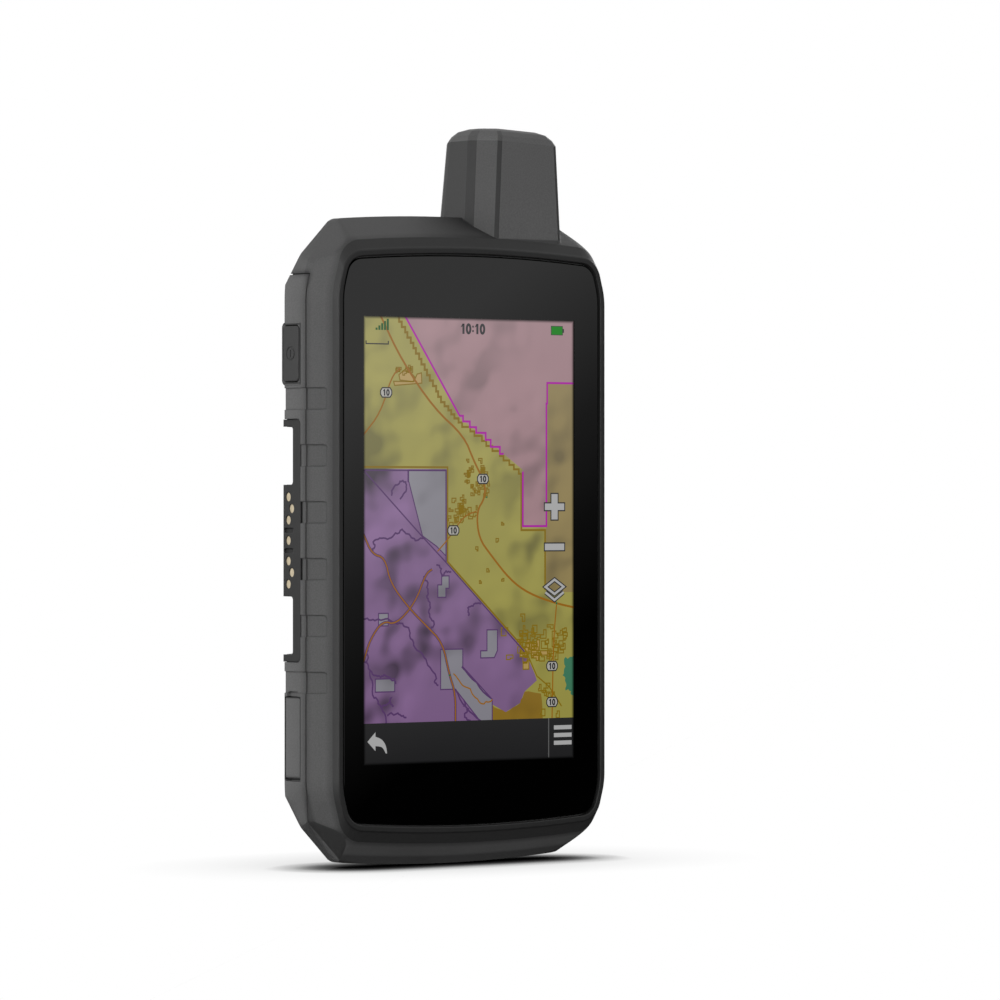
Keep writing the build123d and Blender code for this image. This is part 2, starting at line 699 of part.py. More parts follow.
def terminals(ds):
    """Blocks with the outlines of the battery's four terminals."""
    wide, high = TERMINAL_HALF
    return [block((x - wide, x + wide), ds, (TERMINAL_H - high, TERMINAL_H + high)) for x in TERMINAL_X]


def battery_door():
    foot = window(DOOR_X, DOOR_H, DOOR_CORNER)
    crest = window(DOOR_X - DOOR_RUN, (DOOR_H[0] + DOOR_RUN, DOOR_H[1] - DOOR_RUN), DOOR_CORNER - 2)
    body = taper(foot, DOOR_D, crest, DEPTH)
    body -= slab(window(BAY_X + 0.7, (BAY_H[0] - 0.7, BAY_H[1] + 0.7), 2.4), DOOR_D - 1, PACK_D[1] + 0.5)
    body -= rod_y(LATCH_R, (LATCH_D, FAR), 0, LATCH_H)
    body -= rod_y(SHAFT_R + 0.06, (20, FAR), 0, LATCH_H)
    for i in range(GRIP_COUNT):
        h = GRIP_H + GRIP_PITCH * i
        body -= slab(window(18, (h - 0.6, h + 0.6), 0.55), DEPTH - 0.4, DEPTH + 1)
    for x in TAB_X:
        body += block((x - TAB_HALF, x + TAB_HALF), (TAB_D, DOOR_D + 0.2), TAB_H)
    return body


def door_seal():
    return seal_ring(0, BACK_D - DOOR_SEAL_SINK + 0.02, DOOR_D - 0.01)


def latch_knob():
    knob = rod_y(3.6, (LATCH_D + FIT, DEPTH - 0.3), 0, LATCH_H)
    knob += rod_y(SHAFT_R, (SHAFT_FOOT_D, LATCH_D + 1), 0, LATCH_H)
    return knob - rod_x(RING_WIRE + 0.06, (-5, 5), RING_D, LATCH_H)


def latch_cam():
    cam = block((-CAM[0], CAM[0]), CAM_D, (LATCH_H - CAM[1], LATCH_H + CAM[1]))
    cam = cam & rod_y(CAM[0], CAM_D, 0, LATCH_H)
    return cam - rod_y(SHAFT_R, (SHAFT_FOOT_D, 30), 0, LATCH_H)


def lift_ring():
    """Wire ring with one straight side, lying flat in the door's round recess."""
    plane = Plane(origin=(0, FRONT + RING_D, MID + LATCH_H), x_dir=(1, 0, 0), z_dir=(0, -1, 0))
    path = plane * CenterArc((0, 0), RING_R, 180, 180)
    profile = Plane(origin=path @ 0, z_dir=path % 0) * Circle(RING_WIRE)
    bow = sweep(profile, path=path)
    return bow + rod_x(RING_WIRE, (-RING_R - 0.5, RING_R + 0.5), RING_D, LATCH_H)


# ---------------------------------------------------------------- small plain pieces
def on_board(xs, rise, hs):
    """Box standing on the back of the main board."""
    return block(xs, (BOARD_D[1], BOARD_D[1] + rise), hs)


def battery_contact_block():
    body = on_board((-7.9, 7.9), 6.3, (TERMINAL_H - 3.3, TERMINAL_H + 3.3))
    for x in TERMINAL_X:
        body -= rod_y(SPRING_R + 0.05, (BOARD_D[1] + 1, 20), x, TERMINAL_H)
    return body


def battery_springs():
    return [rod_y(SPRING_R, (BOARD_D[1] + 1, PACK_D[0] + 0.28), x, TERMINAL_H) for x in TERMINAL_X]


def card_socket():
    body = on_board((-7.5, 7.5), 1.8, (-32.5, -17.5))
    return body - block((-5.6, 5.6), (BOARD_D[1] + 0.5, BOARD_D[1] + 1.3), (-33, -18.4))


def key_board():
    return block((-40.15, -39.45), (9.8, 17.0), (KEY_H - 6.6, KEY_H + 6.6))


def port_board():
    return block((-38.75, -38.0), (10.4, 16.8), (-56.5, -38.5))


def contact_board():
    return block((CONTACT_BOARD_X, CONTACT_BOARD_X + 0.6), (11.2, 16.4), (-11.9, 11.9))


NODES = {
    "front_housing": front_housing,
    "rear_case": rear_case,
    "case_seal": case_seal,
    "cover_glass": cover_glass,
    "glass_bond_tape": bond_tape,
    "touch_sensor": lambda: screen_plate(2.8, GLASS_D[1], LAND_D),
    "display_panel": lambda: screen_plate(1.6, LAND_D, DISPLAY_D[0]),
    "backlight_unit": lambda: screen_plate(2.4, *DISPLAY_D),
    "display_flex": display_flex,
    "chassis_plate": chassis_plate,
    "main_board": main_board,
    "board_screws": lambda: screws(BOARD_SCREWS, CHASSIS_D[1], BOARD_D[1], BOARD_D[1] + 1.1, 1.6),
    "case_screws": lambda: screws(CASE_SCREWS, *CASE_SCREW_D, 1.9),
    "processor_shield": lambda: shield_can(-16, 34, 28, 30, 2.2),
    "radio_shield": lambda: shield_can(20, 30, 22, 24, 2.6),
    "power_shield": lambda: shield_can(-17, -45, 24, 16, 2.2),
    "beeper": lambda: rod_y(6.0, (BOARD_D[1], 13.0), 20, -44),
    "backup_cell": lambda: rod_y(4.75, (BOARD_D[1], 12.0), 24, 4),
    "card_socket": card_socket,
    "memory_card": lambda: block((-5.4, 5.4), (BOARD_D[1] + 0.55, BOARD_D[1] + 1.25), (-33.4, -18.5)),
    "battery_contact_block": battery_contact_block,
    "battery_springs": battery_springs,
    "helix_board": lambda: helix_tube(7.6, (HELIX_H[0] - 1.0, HELIX_H[0])),
    "helix_core": lambda: helix_tube(HELIX_R, HELIX_H) - helix_tube(HELIX_BORE, (70, 100)),
    "helix_strips": helix_strips,
    "antenna_coax": coax_lead,
    "coax_plug": lambda: rod_z(1.5, ANTENNA_X, COAX_D, (47.5, 50.0)),
    "power_key": power_key,
    "key_seal": key_seal,
    "key_switch": key_switch,
    "key_board": key_board,
    "contact_panel": contact_panel,
    "contact_pins": contact_pins,
    "contact_board": contact_board,
    "dock_panel_right": dock_panel_right,
    "port_cover": port_cover,
    "port_cover_pin": port_cover_pin,
    "port_board": port_board,
    "usb_socket": usb_socket,
    "usb_tongue": usb_tongue,
    "antenna_jack": antenna_jack,
    "battery_pack": battery_pack,
    "battery_terminals": lambda: terminals((PACK_D[0] + 0.3, PACK_D[0] + 0.4)),
    "battery_door": battery_door,
    "door_seal": door_seal,
    "latch_knob": latch_knob,
    "latch_cam": latch_cam,
    "lift_ring": lift_ring,
}

os.makedirs("parts", exist_ok=True)
for name, make in NODES.items():
    made = make()
    shape = Compound(children=list(made)) if isinstance(made, list) else made
    export_step(shape, f"parts/{name}.step")
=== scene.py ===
"""Looks of the handheld satellite-navigation unit, built round its CAD frame. Lengths are in metres."""

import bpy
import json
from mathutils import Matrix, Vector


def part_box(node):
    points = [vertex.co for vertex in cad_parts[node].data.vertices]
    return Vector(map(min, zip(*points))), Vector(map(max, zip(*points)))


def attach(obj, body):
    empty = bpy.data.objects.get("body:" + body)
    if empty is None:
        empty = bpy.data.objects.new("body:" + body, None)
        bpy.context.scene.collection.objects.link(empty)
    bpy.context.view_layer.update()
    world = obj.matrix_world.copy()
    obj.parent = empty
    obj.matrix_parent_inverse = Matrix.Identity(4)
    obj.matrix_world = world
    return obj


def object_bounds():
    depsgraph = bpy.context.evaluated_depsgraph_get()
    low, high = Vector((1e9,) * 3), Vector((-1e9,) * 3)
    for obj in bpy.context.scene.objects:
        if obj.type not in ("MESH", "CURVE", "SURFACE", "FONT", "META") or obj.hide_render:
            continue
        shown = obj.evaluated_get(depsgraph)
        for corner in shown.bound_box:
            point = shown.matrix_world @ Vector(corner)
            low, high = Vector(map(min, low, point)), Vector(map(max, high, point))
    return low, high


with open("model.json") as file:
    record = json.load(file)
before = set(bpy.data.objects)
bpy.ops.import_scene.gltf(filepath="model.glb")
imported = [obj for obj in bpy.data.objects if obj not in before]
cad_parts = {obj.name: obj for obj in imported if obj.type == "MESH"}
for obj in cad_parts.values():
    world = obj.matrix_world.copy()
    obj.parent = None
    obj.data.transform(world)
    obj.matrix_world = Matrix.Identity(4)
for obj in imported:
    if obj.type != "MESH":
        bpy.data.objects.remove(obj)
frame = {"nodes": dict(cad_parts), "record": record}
CAD_BOX = [list(corner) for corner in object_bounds()]

import bpy
import bmesh
import json
import math
import random
from mathutils import Vector

MM = 0.001
NODES = frame["nodes"]
FRONT = CAD_BOX[0][1]                              # the rim's front plane
GLASS_LOW, GLASS_HIGH = (Vector(corner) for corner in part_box("cover_glass"))
PANEL_LOW, PANEL_HIGH = (Vector(corner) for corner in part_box("display_panel"))
PANEL_MARGIN = 1.6 * MM                            # the display panel is this much larger than its lit area
PICTURE_SHIFT = 0.8 * MM                           # the lit area sits a little left of the panel's middle
LIT_X = PANEL_LOW[0] + PANEL_MARGIN - PICTURE_SHIFT
LIT_Z = PANEL_LOW[2] + PANEL_MARGIN
LIT_W = PANEL_HIGH[0] - PANEL_LOW[0] - 2 * PANEL_MARGIN
LIT_H = PANEL_HIGH[2] - PANEL_LOW[2] - 2 * PANEL_MARGIN
LIT_MID_X = LIT_X + LIT_W / 2
LIT_MID_Z = LIT_Z + LIT_H / 2
SCREEN_MID = Vector((0, GLASS_LOW[1] + 1.3 * MM, (GLASS_LOW[2] + GLASS_HIGH[2]) / 2))
WHITE = (1, 1, 1, 1)
BLACK = (0, 0, 0, 1)


# ---------------------------------------------------------------- camera, floor and light
VIEW_TURN = math.radians(38.07)                    # the camera stands this far left of the screen's axis
VIEW_DISTANCE = 1.3782
VIEW_ASIDE = 7.45 * MM                             # it looks past the screen's middle, this far to the right
VIEW_ABOVE = 9.92 * MM                             # and this far above it
LENS = 200.5
WORLD_LIGHT = 0.6
MIRROR_TURN = 0.595                                # sideways direction where the studio's horizon is level
MIRROR_SWING = 0.12                                # how far the horizon rises and falls to the sides of it
MIRROR_FADE = 5.0                                  # how fast the studio fades across its horizon
FLOOR_LIGHT = 0.34                                 # what the floor throws back up
FLOOR_REACH = 12.0
SHADOW_REACHES = ((8.5 * MM, 1.4), (14 * MM, 1.6), (45 * MM, 0.5))      # distance and strength of the painted contact shadow on the floor
CASE_MID = (0, 0, 0.09)
UPPER_CASE = (0, 0, 0.1)
LAMPS = (
    # name, place, aim, size, power
    ("left_key", (-1.0, 0.3, 0.3), CASE_MID, (0.5, 0.7), 3.8),
    ("front_key", (-0.5, -1.15, 0.16), CASE_MID, (0.7, 0.4), 4.0),
    ("left_front", (-1.15, -0.45, 0.1), CASE_MID, (0.4, 0.5), 1.5),
    ("right_rim", (1.0, 0.5, 0.3), UPPER_CASE, (0.4, 0.7), 2.5),
)


def make_camera():
    """A long lens, level, well to the left of the screen's axis."""
    ahead = Vector((math.sin(VIEW_TURN), math.cos(VIEW_TURN), 0))
    right = Vector((math.cos(VIEW_TURN), -math.sin(VIEW_TURN), 0))
    data = bpy.data.cameras.new("camera")
    data.sensor_width = 36
    data.lens = LENS
    data.clip_end = 50
    camera = bpy.data.objects.new("camera", data)
    camera.location = SCREEN_MID - ahead * VIEW_DISTANCE + right * VIEW_ASIDE + Vector((0, 0, VIEW_ABOVE))
    camera.rotation_euler = (math.radians(90), 0, -VIEW_TURN)
    bpy.context.collection.objects.link(camera)
    bpy.context.scene.camera = camera


def area_light(name, place, aim, size, power):
    data = bpy.data.lights.new(name, "AREA")
    data.shape = "RECTANGLE"
    data.size, data.size_y = size
    data.energy = power
    lamp = bpy.data.objects.new(name, data)
    lamp.location = place
    lamp.rotation_euler = (Vector(aim) - Vector(place)).to_track_quat("-Z", "Y").to_euler()
    lamp.visible_camera = False
    bpy.context.collection.objects.link(lamp)


def make_world():
    """White for the camera. Reflections see a studio that fades to black downwards and to the right."""
    world = bpy.data.worlds.new("studio")
    bpy.context.scene.world = world
    world.use_nodes = True
    g = Graph(world.node_tree)
    out = world.node_tree.nodes["World Output"]
    ray = g.node("ShaderNodeLightPath")
    split = g.node("ShaderNodeSeparateXYZ", Vector=g.node("ShaderNodeTexCoord").outputs["Generated"])
    rise = split.outputs["Z"]
    aside = g.math("SUBTRACT", split.outputs["X"], MIRROR_TURN)
    aside = g.math("MAXIMUM", g.math("MINIMUM", aside, MIRROR_SWING), -MIRROR_SWING)
    level = g.math("MULTIPLY_ADD", g.math("SUBTRACT", rise, aside), MIRROR_FADE, 0.5)
    glossy_ramp = [(0.22, 0.0), (0.32, 0.084), (0.41, 0.22), (0.5, 0.48), (0.59, 0.75), (0.75, 0.76),
                   (1.0, 0.8)]
    mirrored = g.node("ShaderNodeBackground", Color=g.ramp(level, glossy_ramp), Strength=1.0)
    diffuse_ramp = [(0.0, 0.1), (0.45, 0.3), (0.52, 0.75), (0.6, 0.34), (0.75, 0.05), (1.0, 0.02)]
    height = g.math("MULTIPLY_ADD", rise, 0.5, 0.5)
    soft = g.node("ShaderNodeBackground", Color=g.ramp(height, diffuse_ramp), Strength=WORLD_LIGHT)
    white = g.node("ShaderNodeBackground", Color=WHITE, Strength=1.0)
    light = g.node("ShaderNodeMixShader", Fac=ray.outputs["Is Diffuse Ray"])
    g.link(mirrored.outputs[0], light.inputs[1])
    g.link(soft.outputs[0], light.inputs[2])
    mix = g.node("ShaderNodeMixShader", Fac=ray.outputs["Is Camera Ray"])
    g.link(light.outputs[0], mix.inputs[1])
    g.link(white.outputs[0], mix.inputs[2])
    g.link(mix.outputs[0], out.inputs["Surface"])


def make_floor():
    """White floor without a horizon. The camera sees it white, with a painted soft contact shadow from
    ambient occlusion; it throws only a little light back up.
    """
    mesh = bpy.data.meshes.new("floor")
    far = FLOOR_REACH
    mesh.from_pydata([(-far, -far, 0), (far, -far, 0), (far, far, 0), (-far, far, 0)], [], [(0, 1, 2, 3)])
    floor = bpy.data.objects.new("floor", mesh)
    bpy.context.collection.objects.link(floor)
    floor.visible_glossy = False                   # reflections see only the studio
    g = Graph.material("floor_white")
    # painted contact shadow: ambient occlusion round the case dims the floor's white glow
    glow_with_painted_shadow = 1.0
    for distance, strength in SHADOW_REACHES:
        seen_sky = g.node("ShaderNodeAmbientOcclusion", {"samples": 16}, Distance=distance).outputs["AO"]
        glow_with_painted_shadow = g.math("MULTIPLY", glow_with_painted_shadow, g.math("POWER", seen_sky, strength))
    white = g.node("ShaderNodeEmission", Color=WHITE, Strength=glow_with_painted_shadow)
    ray = g.node("ShaderNodeLightPath")
    thrown = g.math("MULTIPLY", ray.outputs["Is Diffuse Ray"], FLOOR_LIGHT)
    bounce = g.node("ShaderNodeEmission", Color=WHITE, Strength=thrown)
    seen = g.node("ShaderNodeMixShader", Fac=ray.outputs["Is Camera Ray"])
    g.link(bounce.outputs[0], seen.inputs[1])
    g.link(white.outputs[0], seen.inputs[2])
    g.link(seen.outputs[0], g.material_data.node_tree.nodes["Material Output"].inputs["Surface"])
    mesh.materials.append(g.material_data)


# ---------------------------------------------------------------- shader graphs
class Graph:
    """Short hand for building a node tree."""

    def __init__(self, tree):
        self.tree = tree

    @classmethod
    def material(cls, name):
        data = bpy.data.materials.new(name)
        data.use_nodes = True
        graph = cls(data.node_tree)
        graph.material_data = data
        graph.shader = data.node_tree.nodes["Principled BSDF"]
        return graph

    def link(self, a, b):
        self.tree.links.new(a, b)

    def node(self, kind, settings=None, **inputs):
        made = self.tree.nodes.new(kind)
        for key, value in (settings or {}).items():
            setattr(made, key, value)
        for key, value in inputs.items():
            self.feed(made.inputs[key.replace("_", " ")], value)
        return made

    def feed(self, socket, value):
        if isinstance(value, bpy.types.NodeSocket):
            self.link(value, socket)
        else:
            socket.default_value = value

    def surface(self, **inputs):
        for key, value in inputs.items():
            self.feed(self.shader.inputs[key.replace("_", " ")], value)

    def math(self, operation, a, b=0.0, c=0.0, clamp=False):
        made = self.node("ShaderNodeMath", {"operation": operation, "use_clamp": clamp})
        for socket, value in zip(made.inputs, (a, b, c)):
            self.feed(socket, value)
        return made.outputs[0]

    def ramp(self, factor, stops):
        """Colour ramp through (place, grey or colour) stops."""
        made = self.node("ShaderNodeValToRGB", Fac=factor)
        elements = made.color_ramp.elements
        while len(elements) < len(stops):
            elements.new(0.5)
        for element, (place, value) in zip(elements, stops):
            element.position = place
            element.color = (value, value, value, 1) if isinstance(value, float) else (*value, 1)
        return made.outputs["Color"]

    def blend(self, factor, a, b):
        made = self.node("ShaderNodeMix", {"data_type": "RGBA"})
        self.feed(made.inputs["Factor"], factor)
        self.feed(made.inputs[6], a)
        self.feed(made.inputs[7], b)
        return made.outputs[2]

    def place(self):
        """Position on the object, in metres."""
        return self.node("ShaderNodeTexCoord").outputs["Object"]

    def noise(self, size, detail=2.0, rough=0.5, vector=None):
        """Noise whose features are about this large, in metres."""
        made = self.node("ShaderNodeTexNoise", Scale=1 / size, Detail=detail, Roughness=rough)
        self.link(vector or self.place(), made.inputs["Vector"])
        return made.outputs["Fac"]

    def stretch(self, low, high, value):
        """The value moved from low..high to 0..1, held inside."""
        made = self.node("ShaderNodeMapRange", {"clamp": True}, Value=value, From_Min=low, From_Max=high)
        return made.outputs["Result"]


def grey(value):
    """Linear colour of an sRGB grey level from 0 to 255."""
    return srgb(value, value, value)


def srgb(*levels):
    line = []
    for level in levels:
        c = level / 255
        line.append(c / 12.92 if c <= 0.04045 else ((c + 0.055) / 1.055) ** 2.4)
    return (*line, 1.0)


# ---------------------------------------------------------------- materials of the case
GRAIN = 0.32 * MM                                  # size of the moulded grain
EDGE_R = 0.4 * MM                                  # radius that plain edges look rounded with
CORNER_R = 2.6 * MM                                # and what the case's corners have on top of it
CORNER_X = (28 * MM, 34 * MM)                      # the corners begin over these distances from the middle
CORNER_Z = (61 * MM, 65 * MM)
SHEEN = 0.4
POLISHED = 0.36                                    # roughness of the polished land round the glass
RIM_D = 1.75 * MM                                  # the rim, the parting line and the stub's back part
SEAM_D = 7.6 * MM                                  # begin this far behind the front plane
WALL_D = 9.2 * MM
BAND_PITCH = 13.83 * MM
BAND_H = 5.3 * MM
BAND_REACH = (3.0 * MM, 26.8 * MM)                 # the bands' ends behind the front plane
STUB_Z = SCREEN_MID.z + 74.8 * MM                  # the antenna's front begins at this height
CROWN_Z = SCREEN_MID.z + 80.6 * MM                 # only the antenna is higher than this
FRONT_KEPT = 0.64                                  # part of the paint's brightness kept on the front housing; the rear moulding keeps all of it, so it is painted lighter
WALL_KEPT = 0.85                                   # and on its side walls, painted lighter than its front
# how dark the painted shade is on the rim, the slope next to the rim, upward faces beside the antenna's
# foot, the lower corners, the parting line and the gaps round the flap and the key; LAND_DARK is how dark
# the polished land is
RIM_DARK = 0.74
LAND_DARK = 0.85
NEAR_RIM_DARK = 0.42
SHELTER_DARK = 0.9                                 # painted shade beside the antenna's foot
SHELTER_REACH = 16 * MM
CORNER_DARK = 0.55
SEAM_DARK = 0.42
GAP_DARK = 0.8


def moulded_plastic(name, colour, rough=0.55, painted_shading=None, grain_depth=0.03):
    """Spark-textured moulding. The tone function passed in gives how much painted light and shade darken it,
    and where the mould is polished.
    """
    g = Graph.material(name)
    grain = g.noise(GRAIN, 3.0, 0.6)
    speckle = g.stretch(0.35, 0.65, grain)
    cloud = g.stretch(0.3, 0.7, g.noise(14 * MM, 3.0))
    base = g.blend(speckle, scaled(colour, 0.86), scaled(colour, 1.14))
    base = g.blend(g.math("MULTIPLY", cloud, 0.12), base, scaled(colour, 1.4))
    roughness = g.math("MULTIPLY_ADD", speckle, 0.08, rough - 0.04)
    bevel = g.node("ShaderNodeBevel", {"samples": 8}, Radius=corner_softness(g))
    strength = 1.0
    if painted_shading is not None:
        # painted light and shade from the tone function darken the paint towards black
        painted_darkness, polish = painted_shading(g)
        base = g.blend(painted_darkness, base, BLACK)
        roughness = g.math("MULTIPLY_ADD", polish, POLISHED - rough, roughness)
        strength = g.math("SUBTRACT", 1.0, polish)
    bump = g.node("ShaderNodeBump", Strength=strength, Distance=grain_depth * MM, Height=grain)
    g.link(bevel.outputs["Normal"], bump.inputs["Normal"])
    g.surface(Base_Color=base, Roughness=roughness, Normal=bump.outputs["Normal"], Specular_IOR_Level=SHEEN)
    return g.material_data


def corner_softness(g):
    """Radius that edges look rounded with: larger where the case's facets meet at its four corners."""
    split = g.node("ShaderNodeSeparateXYZ", Vector=g.place())
    aside = g.stretch(*CORNER_X, g.math("ABSOLUTE", split.outputs["X"]))
    rise = g.math("SUBTRACT", split.outputs["Z"], SCREEN_MID.z)
    up = g.stretch(*CORNER_Z, g.math("ABSOLUTE", rise))
    behind = g.stretch(FRONT + RIM_D + 0.2 * MM, FRONT + RIM_D + 2.2 * MM, split.outputs["Y"])
    on_case = g.math("MULTIPLY", behind, g.stretch(STUB_Z + 8 * MM, STUB_Z, split.outputs["Z"]))
    corner = g.math("MULTIPLY", g.math("MULTIPLY", aside, up), on_case)
    return g.math("MULTIPLY_ADD", corner, CORNER_R, EDGE_R)


def scaled(colour, factor):
    return tuple(min(1.0, c * factor) for c in colour[:3]) + (1,)


def band_painted_shade(g, split):
    """Painted shade in the shallow bands pressed into the sides: a little inside, more along their outlines.
    """
    rise = g.math("SUBTRACT", split.outputs["Z"], SCREEN_MID.z)
    turn = g.math("FRACT", g.math("MULTIPLY", rise, 1 / BAND_PITCH))
    nearest = g.math("ABSOLUTE", g.math("SUBTRACT", turn, 0.5))
    across = g.math("SUBTRACT", BAND_H / 2, g.math("MULTIPLY", nearest, BAND_PITCH))
    ahead = g.math("SUBTRACT", split.outputs["Y"], FRONT + BAND_REACH[0])
    behind = g.math("SUBTRACT", FRONT + BAND_REACH[1], split.outputs["Y"])
    reach = g.math("SUBTRACT", 3 * BAND_PITCH, g.math("ABSOLUTE", rise))
    within = g.math("MINIMUM", g.math("MINIMUM", across, reach), g.math("MINIMUM", ahead, behind))
    inside = g.stretch(-0.06 * MM, 0.02 * MM, within)
    outline = g.math("MULTIPLY", inside, g.stretch(0.45 * MM, 0.2 * MM, within))
    return g.math("MULTIPLY_ADD", outline, 0.22, g.math("MULTIPLY", inside, 0.07))


def front_painted_light_and_shade(g):
    """Painted light and shade by place and facing. The case's outer walls are painted lightest, the rim and
    the stub's bevels painted darker, and so are the slope next to the rim, upward faces beside the antenna's
    foot, the lower corners, the pressed bands and the front towards the parting line; the land is darker and
    polished.
    """
    split = g.node("ShaderNodeSeparateXYZ", Vector=g.place())
    facing = g.node("ShaderNodeSeparateXYZ", Vector=g.node("ShaderNodeNewGeometry").outputs["True Normal"])
    across = g.math("ABSOLUTE", facing.outputs["X"])
    rim = g.stretch(FRONT + RIM_D + 0.08 * MM, FRONT + RIM_D - 0.05 * MM, split.outputs["Y"])
    land = g.stretch(FRONT + 0.35 * MM, FRONT + 0.1 * MM, split.outputs["Y"])
    # painted shade darkening the front housing towards the parting line, below the antenna
    seam = g.stretch(FRONT + SEAM_D - 1.6 * MM, FRONT + SEAM_D, split.outputs["Y"])
    side = g.stretch(STUB_Z - 3 * MM, STUB_Z - 12 * MM, split.outputs["Z"])
    shade = g.math("MULTIPLY", g.math("POWER", g.math("MULTIPLY", seam, side), 2.0), 0.4)
    shade = g.math("MAXIMUM", shade, band_painted_shade(g, split))
    # painted shade on the slope next to the rim, and on upward faces that ambient occlusion finds sheltered
    # beside the antenna's foot
    near_rim = g.stretch(FRONT + 3.6 * MM, FRONT + RIM_D, split.outputs["Y"])
    near_rim = g.math("MULTIPLY", near_rim, NEAR_RIM_DARK)
    upper = g.stretch(0.3, 0.8, facing.outputs["Z"])
    open_air = g.node("ShaderNodeAmbientOcclusion", {"samples": 8}, Distance=SHELTER_REACH).outputs["AO"]
    sheltered = g.stretch(0.97, 0.7, open_air)
    upper = g.math("MULTIPLY", upper, g.math("MULTIPLY", sheltered, SHELTER_DARK))
    shade = g.math("MAXIMUM", shade, lower_corner_painted_shade(g, facing))
    shade = g.math("MAXIMUM", shade, g.math("ADD", near_rim, upper))
    shade = g.math("MINIMUM", shade, LAND_DARK)
    dark = g.math("MAXIMUM", g.math("MULTIPLY", rim, RIM_DARK), shade)
    dark = g.math("MAXIMUM", dark, g.math("MULTIPLY", land, LAND_DARK))
    # the antenna's facets take the painted light and shade of the stub tone instead
    stub = g.stretch(STUB_Z, STUB_Z + 0.3 * MM, split.outputs["Z"])
    stub = g.math("MULTIPLY", stub, g.stretch(0.25, 0.15, facing.outputs["Z"]))
    stub = g.math("MAXIMUM", stub, g.stretch(CROWN_Z, CROWN_Z + 0.3 * MM, split.outputs["Z"]))
    dark = g.math("MULTIPLY_ADD", stub, g.math("SUBTRACT", stub_painted_light_and_shade(g, facing), dark), dark)
    kept = g.math("MULTIPLY_ADD", dark, -FRONT_KEPT, FRONT_KEPT)
    # painted light: side walls behind the front keep more of their brightness
    behind = g.stretch(FRONT + WALL_D, FRONT + WALL_D + 0.4 * MM, split.outputs["Y"])
    wall = g.math("MULTIPLY", g.math("MULTIPLY", behind, side), g.stretch(0.45, 0.65, across))
    kept = g.math("MULTIPLY_ADD", wall, g.math("SUBTRACT", WALL_KEPT, kept), kept)
    return g.math("SUBTRACT", 1.0, kept), land


def lower_corner_painted_shade(g, facing):
    """Painted shade on the case's two downward-facing bottom corners."""
    across = g.math("ABSOLUTE", facing.outputs["X"])
    under = g.math("MULTIPLY", g.stretch(-0.2, -0.5, facing.outputs["Z"]), g.stretch(0.25, 0.5, across))
    return g.math("MULTIPLY", under, CORNER_DARK)


def stub_painted_light_and_shade(g, facing):
    """Painted shade and light on each facet of the antenna by its facing: bevels darkest, sides less, front
    and crown painted lighter.
    """
    level = g.node("ShaderNodeCombineXYZ", X=facing.outputs["X"], Y=facing.outputs["Y"])
    flat = g.node("ShaderNodeVectorMath", {"operation": "NORMALIZE"})
    g.link(level.outputs[0], flat.inputs[0])
    across = g.math("ABSOLUTE", g.node("ShaderNodeSeparateXYZ", Vector=flat.outputs[0]).outputs["X"])
    tone = 0.0
    # how far sideways a facet looks, how far from that still counts, and how dark its painted shade is
    facets = ((0.41, 0.06, 0.74), (0.66, 0.16, 0.1), (0.925, 0.025, 0.8), (1.0, 0.03, 0.52))
    for sideways, spread, amount in facets:
        off = g.math("ABSOLUTE", g.math("SUBTRACT", across, sideways))
        tone = g.math("MAXIMUM", tone, g.math("MULTIPLY", g.stretch(spread * 1.2, spread, off), amount))
    # painted light on the antenna's front and crown
    front = g.math("MULTIPLY", g.stretch(0.2, 0.1, across), 0.36)
    crown = g.math("MULTIPLY", g.stretch(0.15, 0.45, facing.outputs["Z"]), 0.8)
    return g.math("SUBTRACT", tone, g.math("ADD", front, crown))


def rear_painted_shade(g):
    """Painted shade: darker towards the parting line, at the bottom corners, round the flap and the key, and
    in the pressed bands.
    """
    split = g.node("ShaderNodeSeparateXYZ", Vector=g.place())
    # painted shade darkening towards the parting line, and less over the wall behind it
    seam = g.stretch(FRONT + SEAM_D + 2.2 * MM, FRONT + SEAM_D + 0.4 * MM, split.outputs["Y"])
    wall = g.stretch(FRONT + SEAM_D + 8.4 * MM, FRONT + SEAM_D + 2.2 * MM, split.outputs["Y"])
    dark = g.math("MULTIPLY_ADD", wall, 0.18, g.math("MULTIPLY", seam, SEAM_DARK))
    facing = g.node("ShaderNodeSeparateXYZ", Vector=g.node("ShaderNodeNewGeometry").outputs["True Normal"])
    dark = g.math("MAXIMUM", dark, lower_corner_painted_shade(g, facing))
    for node in ("port_cover", "power_key"):
        dark = g.math("MAXIMUM", dark, g.math("MULTIPLY", gap_painted_shadow(g, split, node), GAP_DARK))
    return g.math("MAXIMUM", dark, band_painted_shade(g, split)), 0.0


def gap_painted_shadow(g, split, node):
    """1 along the outline of a piece let into the left side, where painted shadow darkens the case beside
    the gap.
    """
    low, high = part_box(node)
    beyond = []
    for socket, axis in (("Y", 1), ("Z", 2)):
        off = g.math("ABSOLUTE", g.math("SUBTRACT", split.outputs[socket], (low[axis] + high[axis]) / 2))
        beyond.append(g.math("SUBTRACT", off, (high[axis] - low[axis]) / 2))
    edge = g.math("ABSOLUTE", g.math("MAXIMUM", *beyond))
    left = g.stretch(-40 * MM, -41 * MM, split.outputs["X"])
    return g.math("MULTIPLY", g.stretch(0.34 * MM, 0.12 * MM, edge), left)


BLACK_INK = (0.0006, 0.0006, 0.0006, 1)            # printed border and unlit screen
GLASS_ROUGHNESS = 0.015


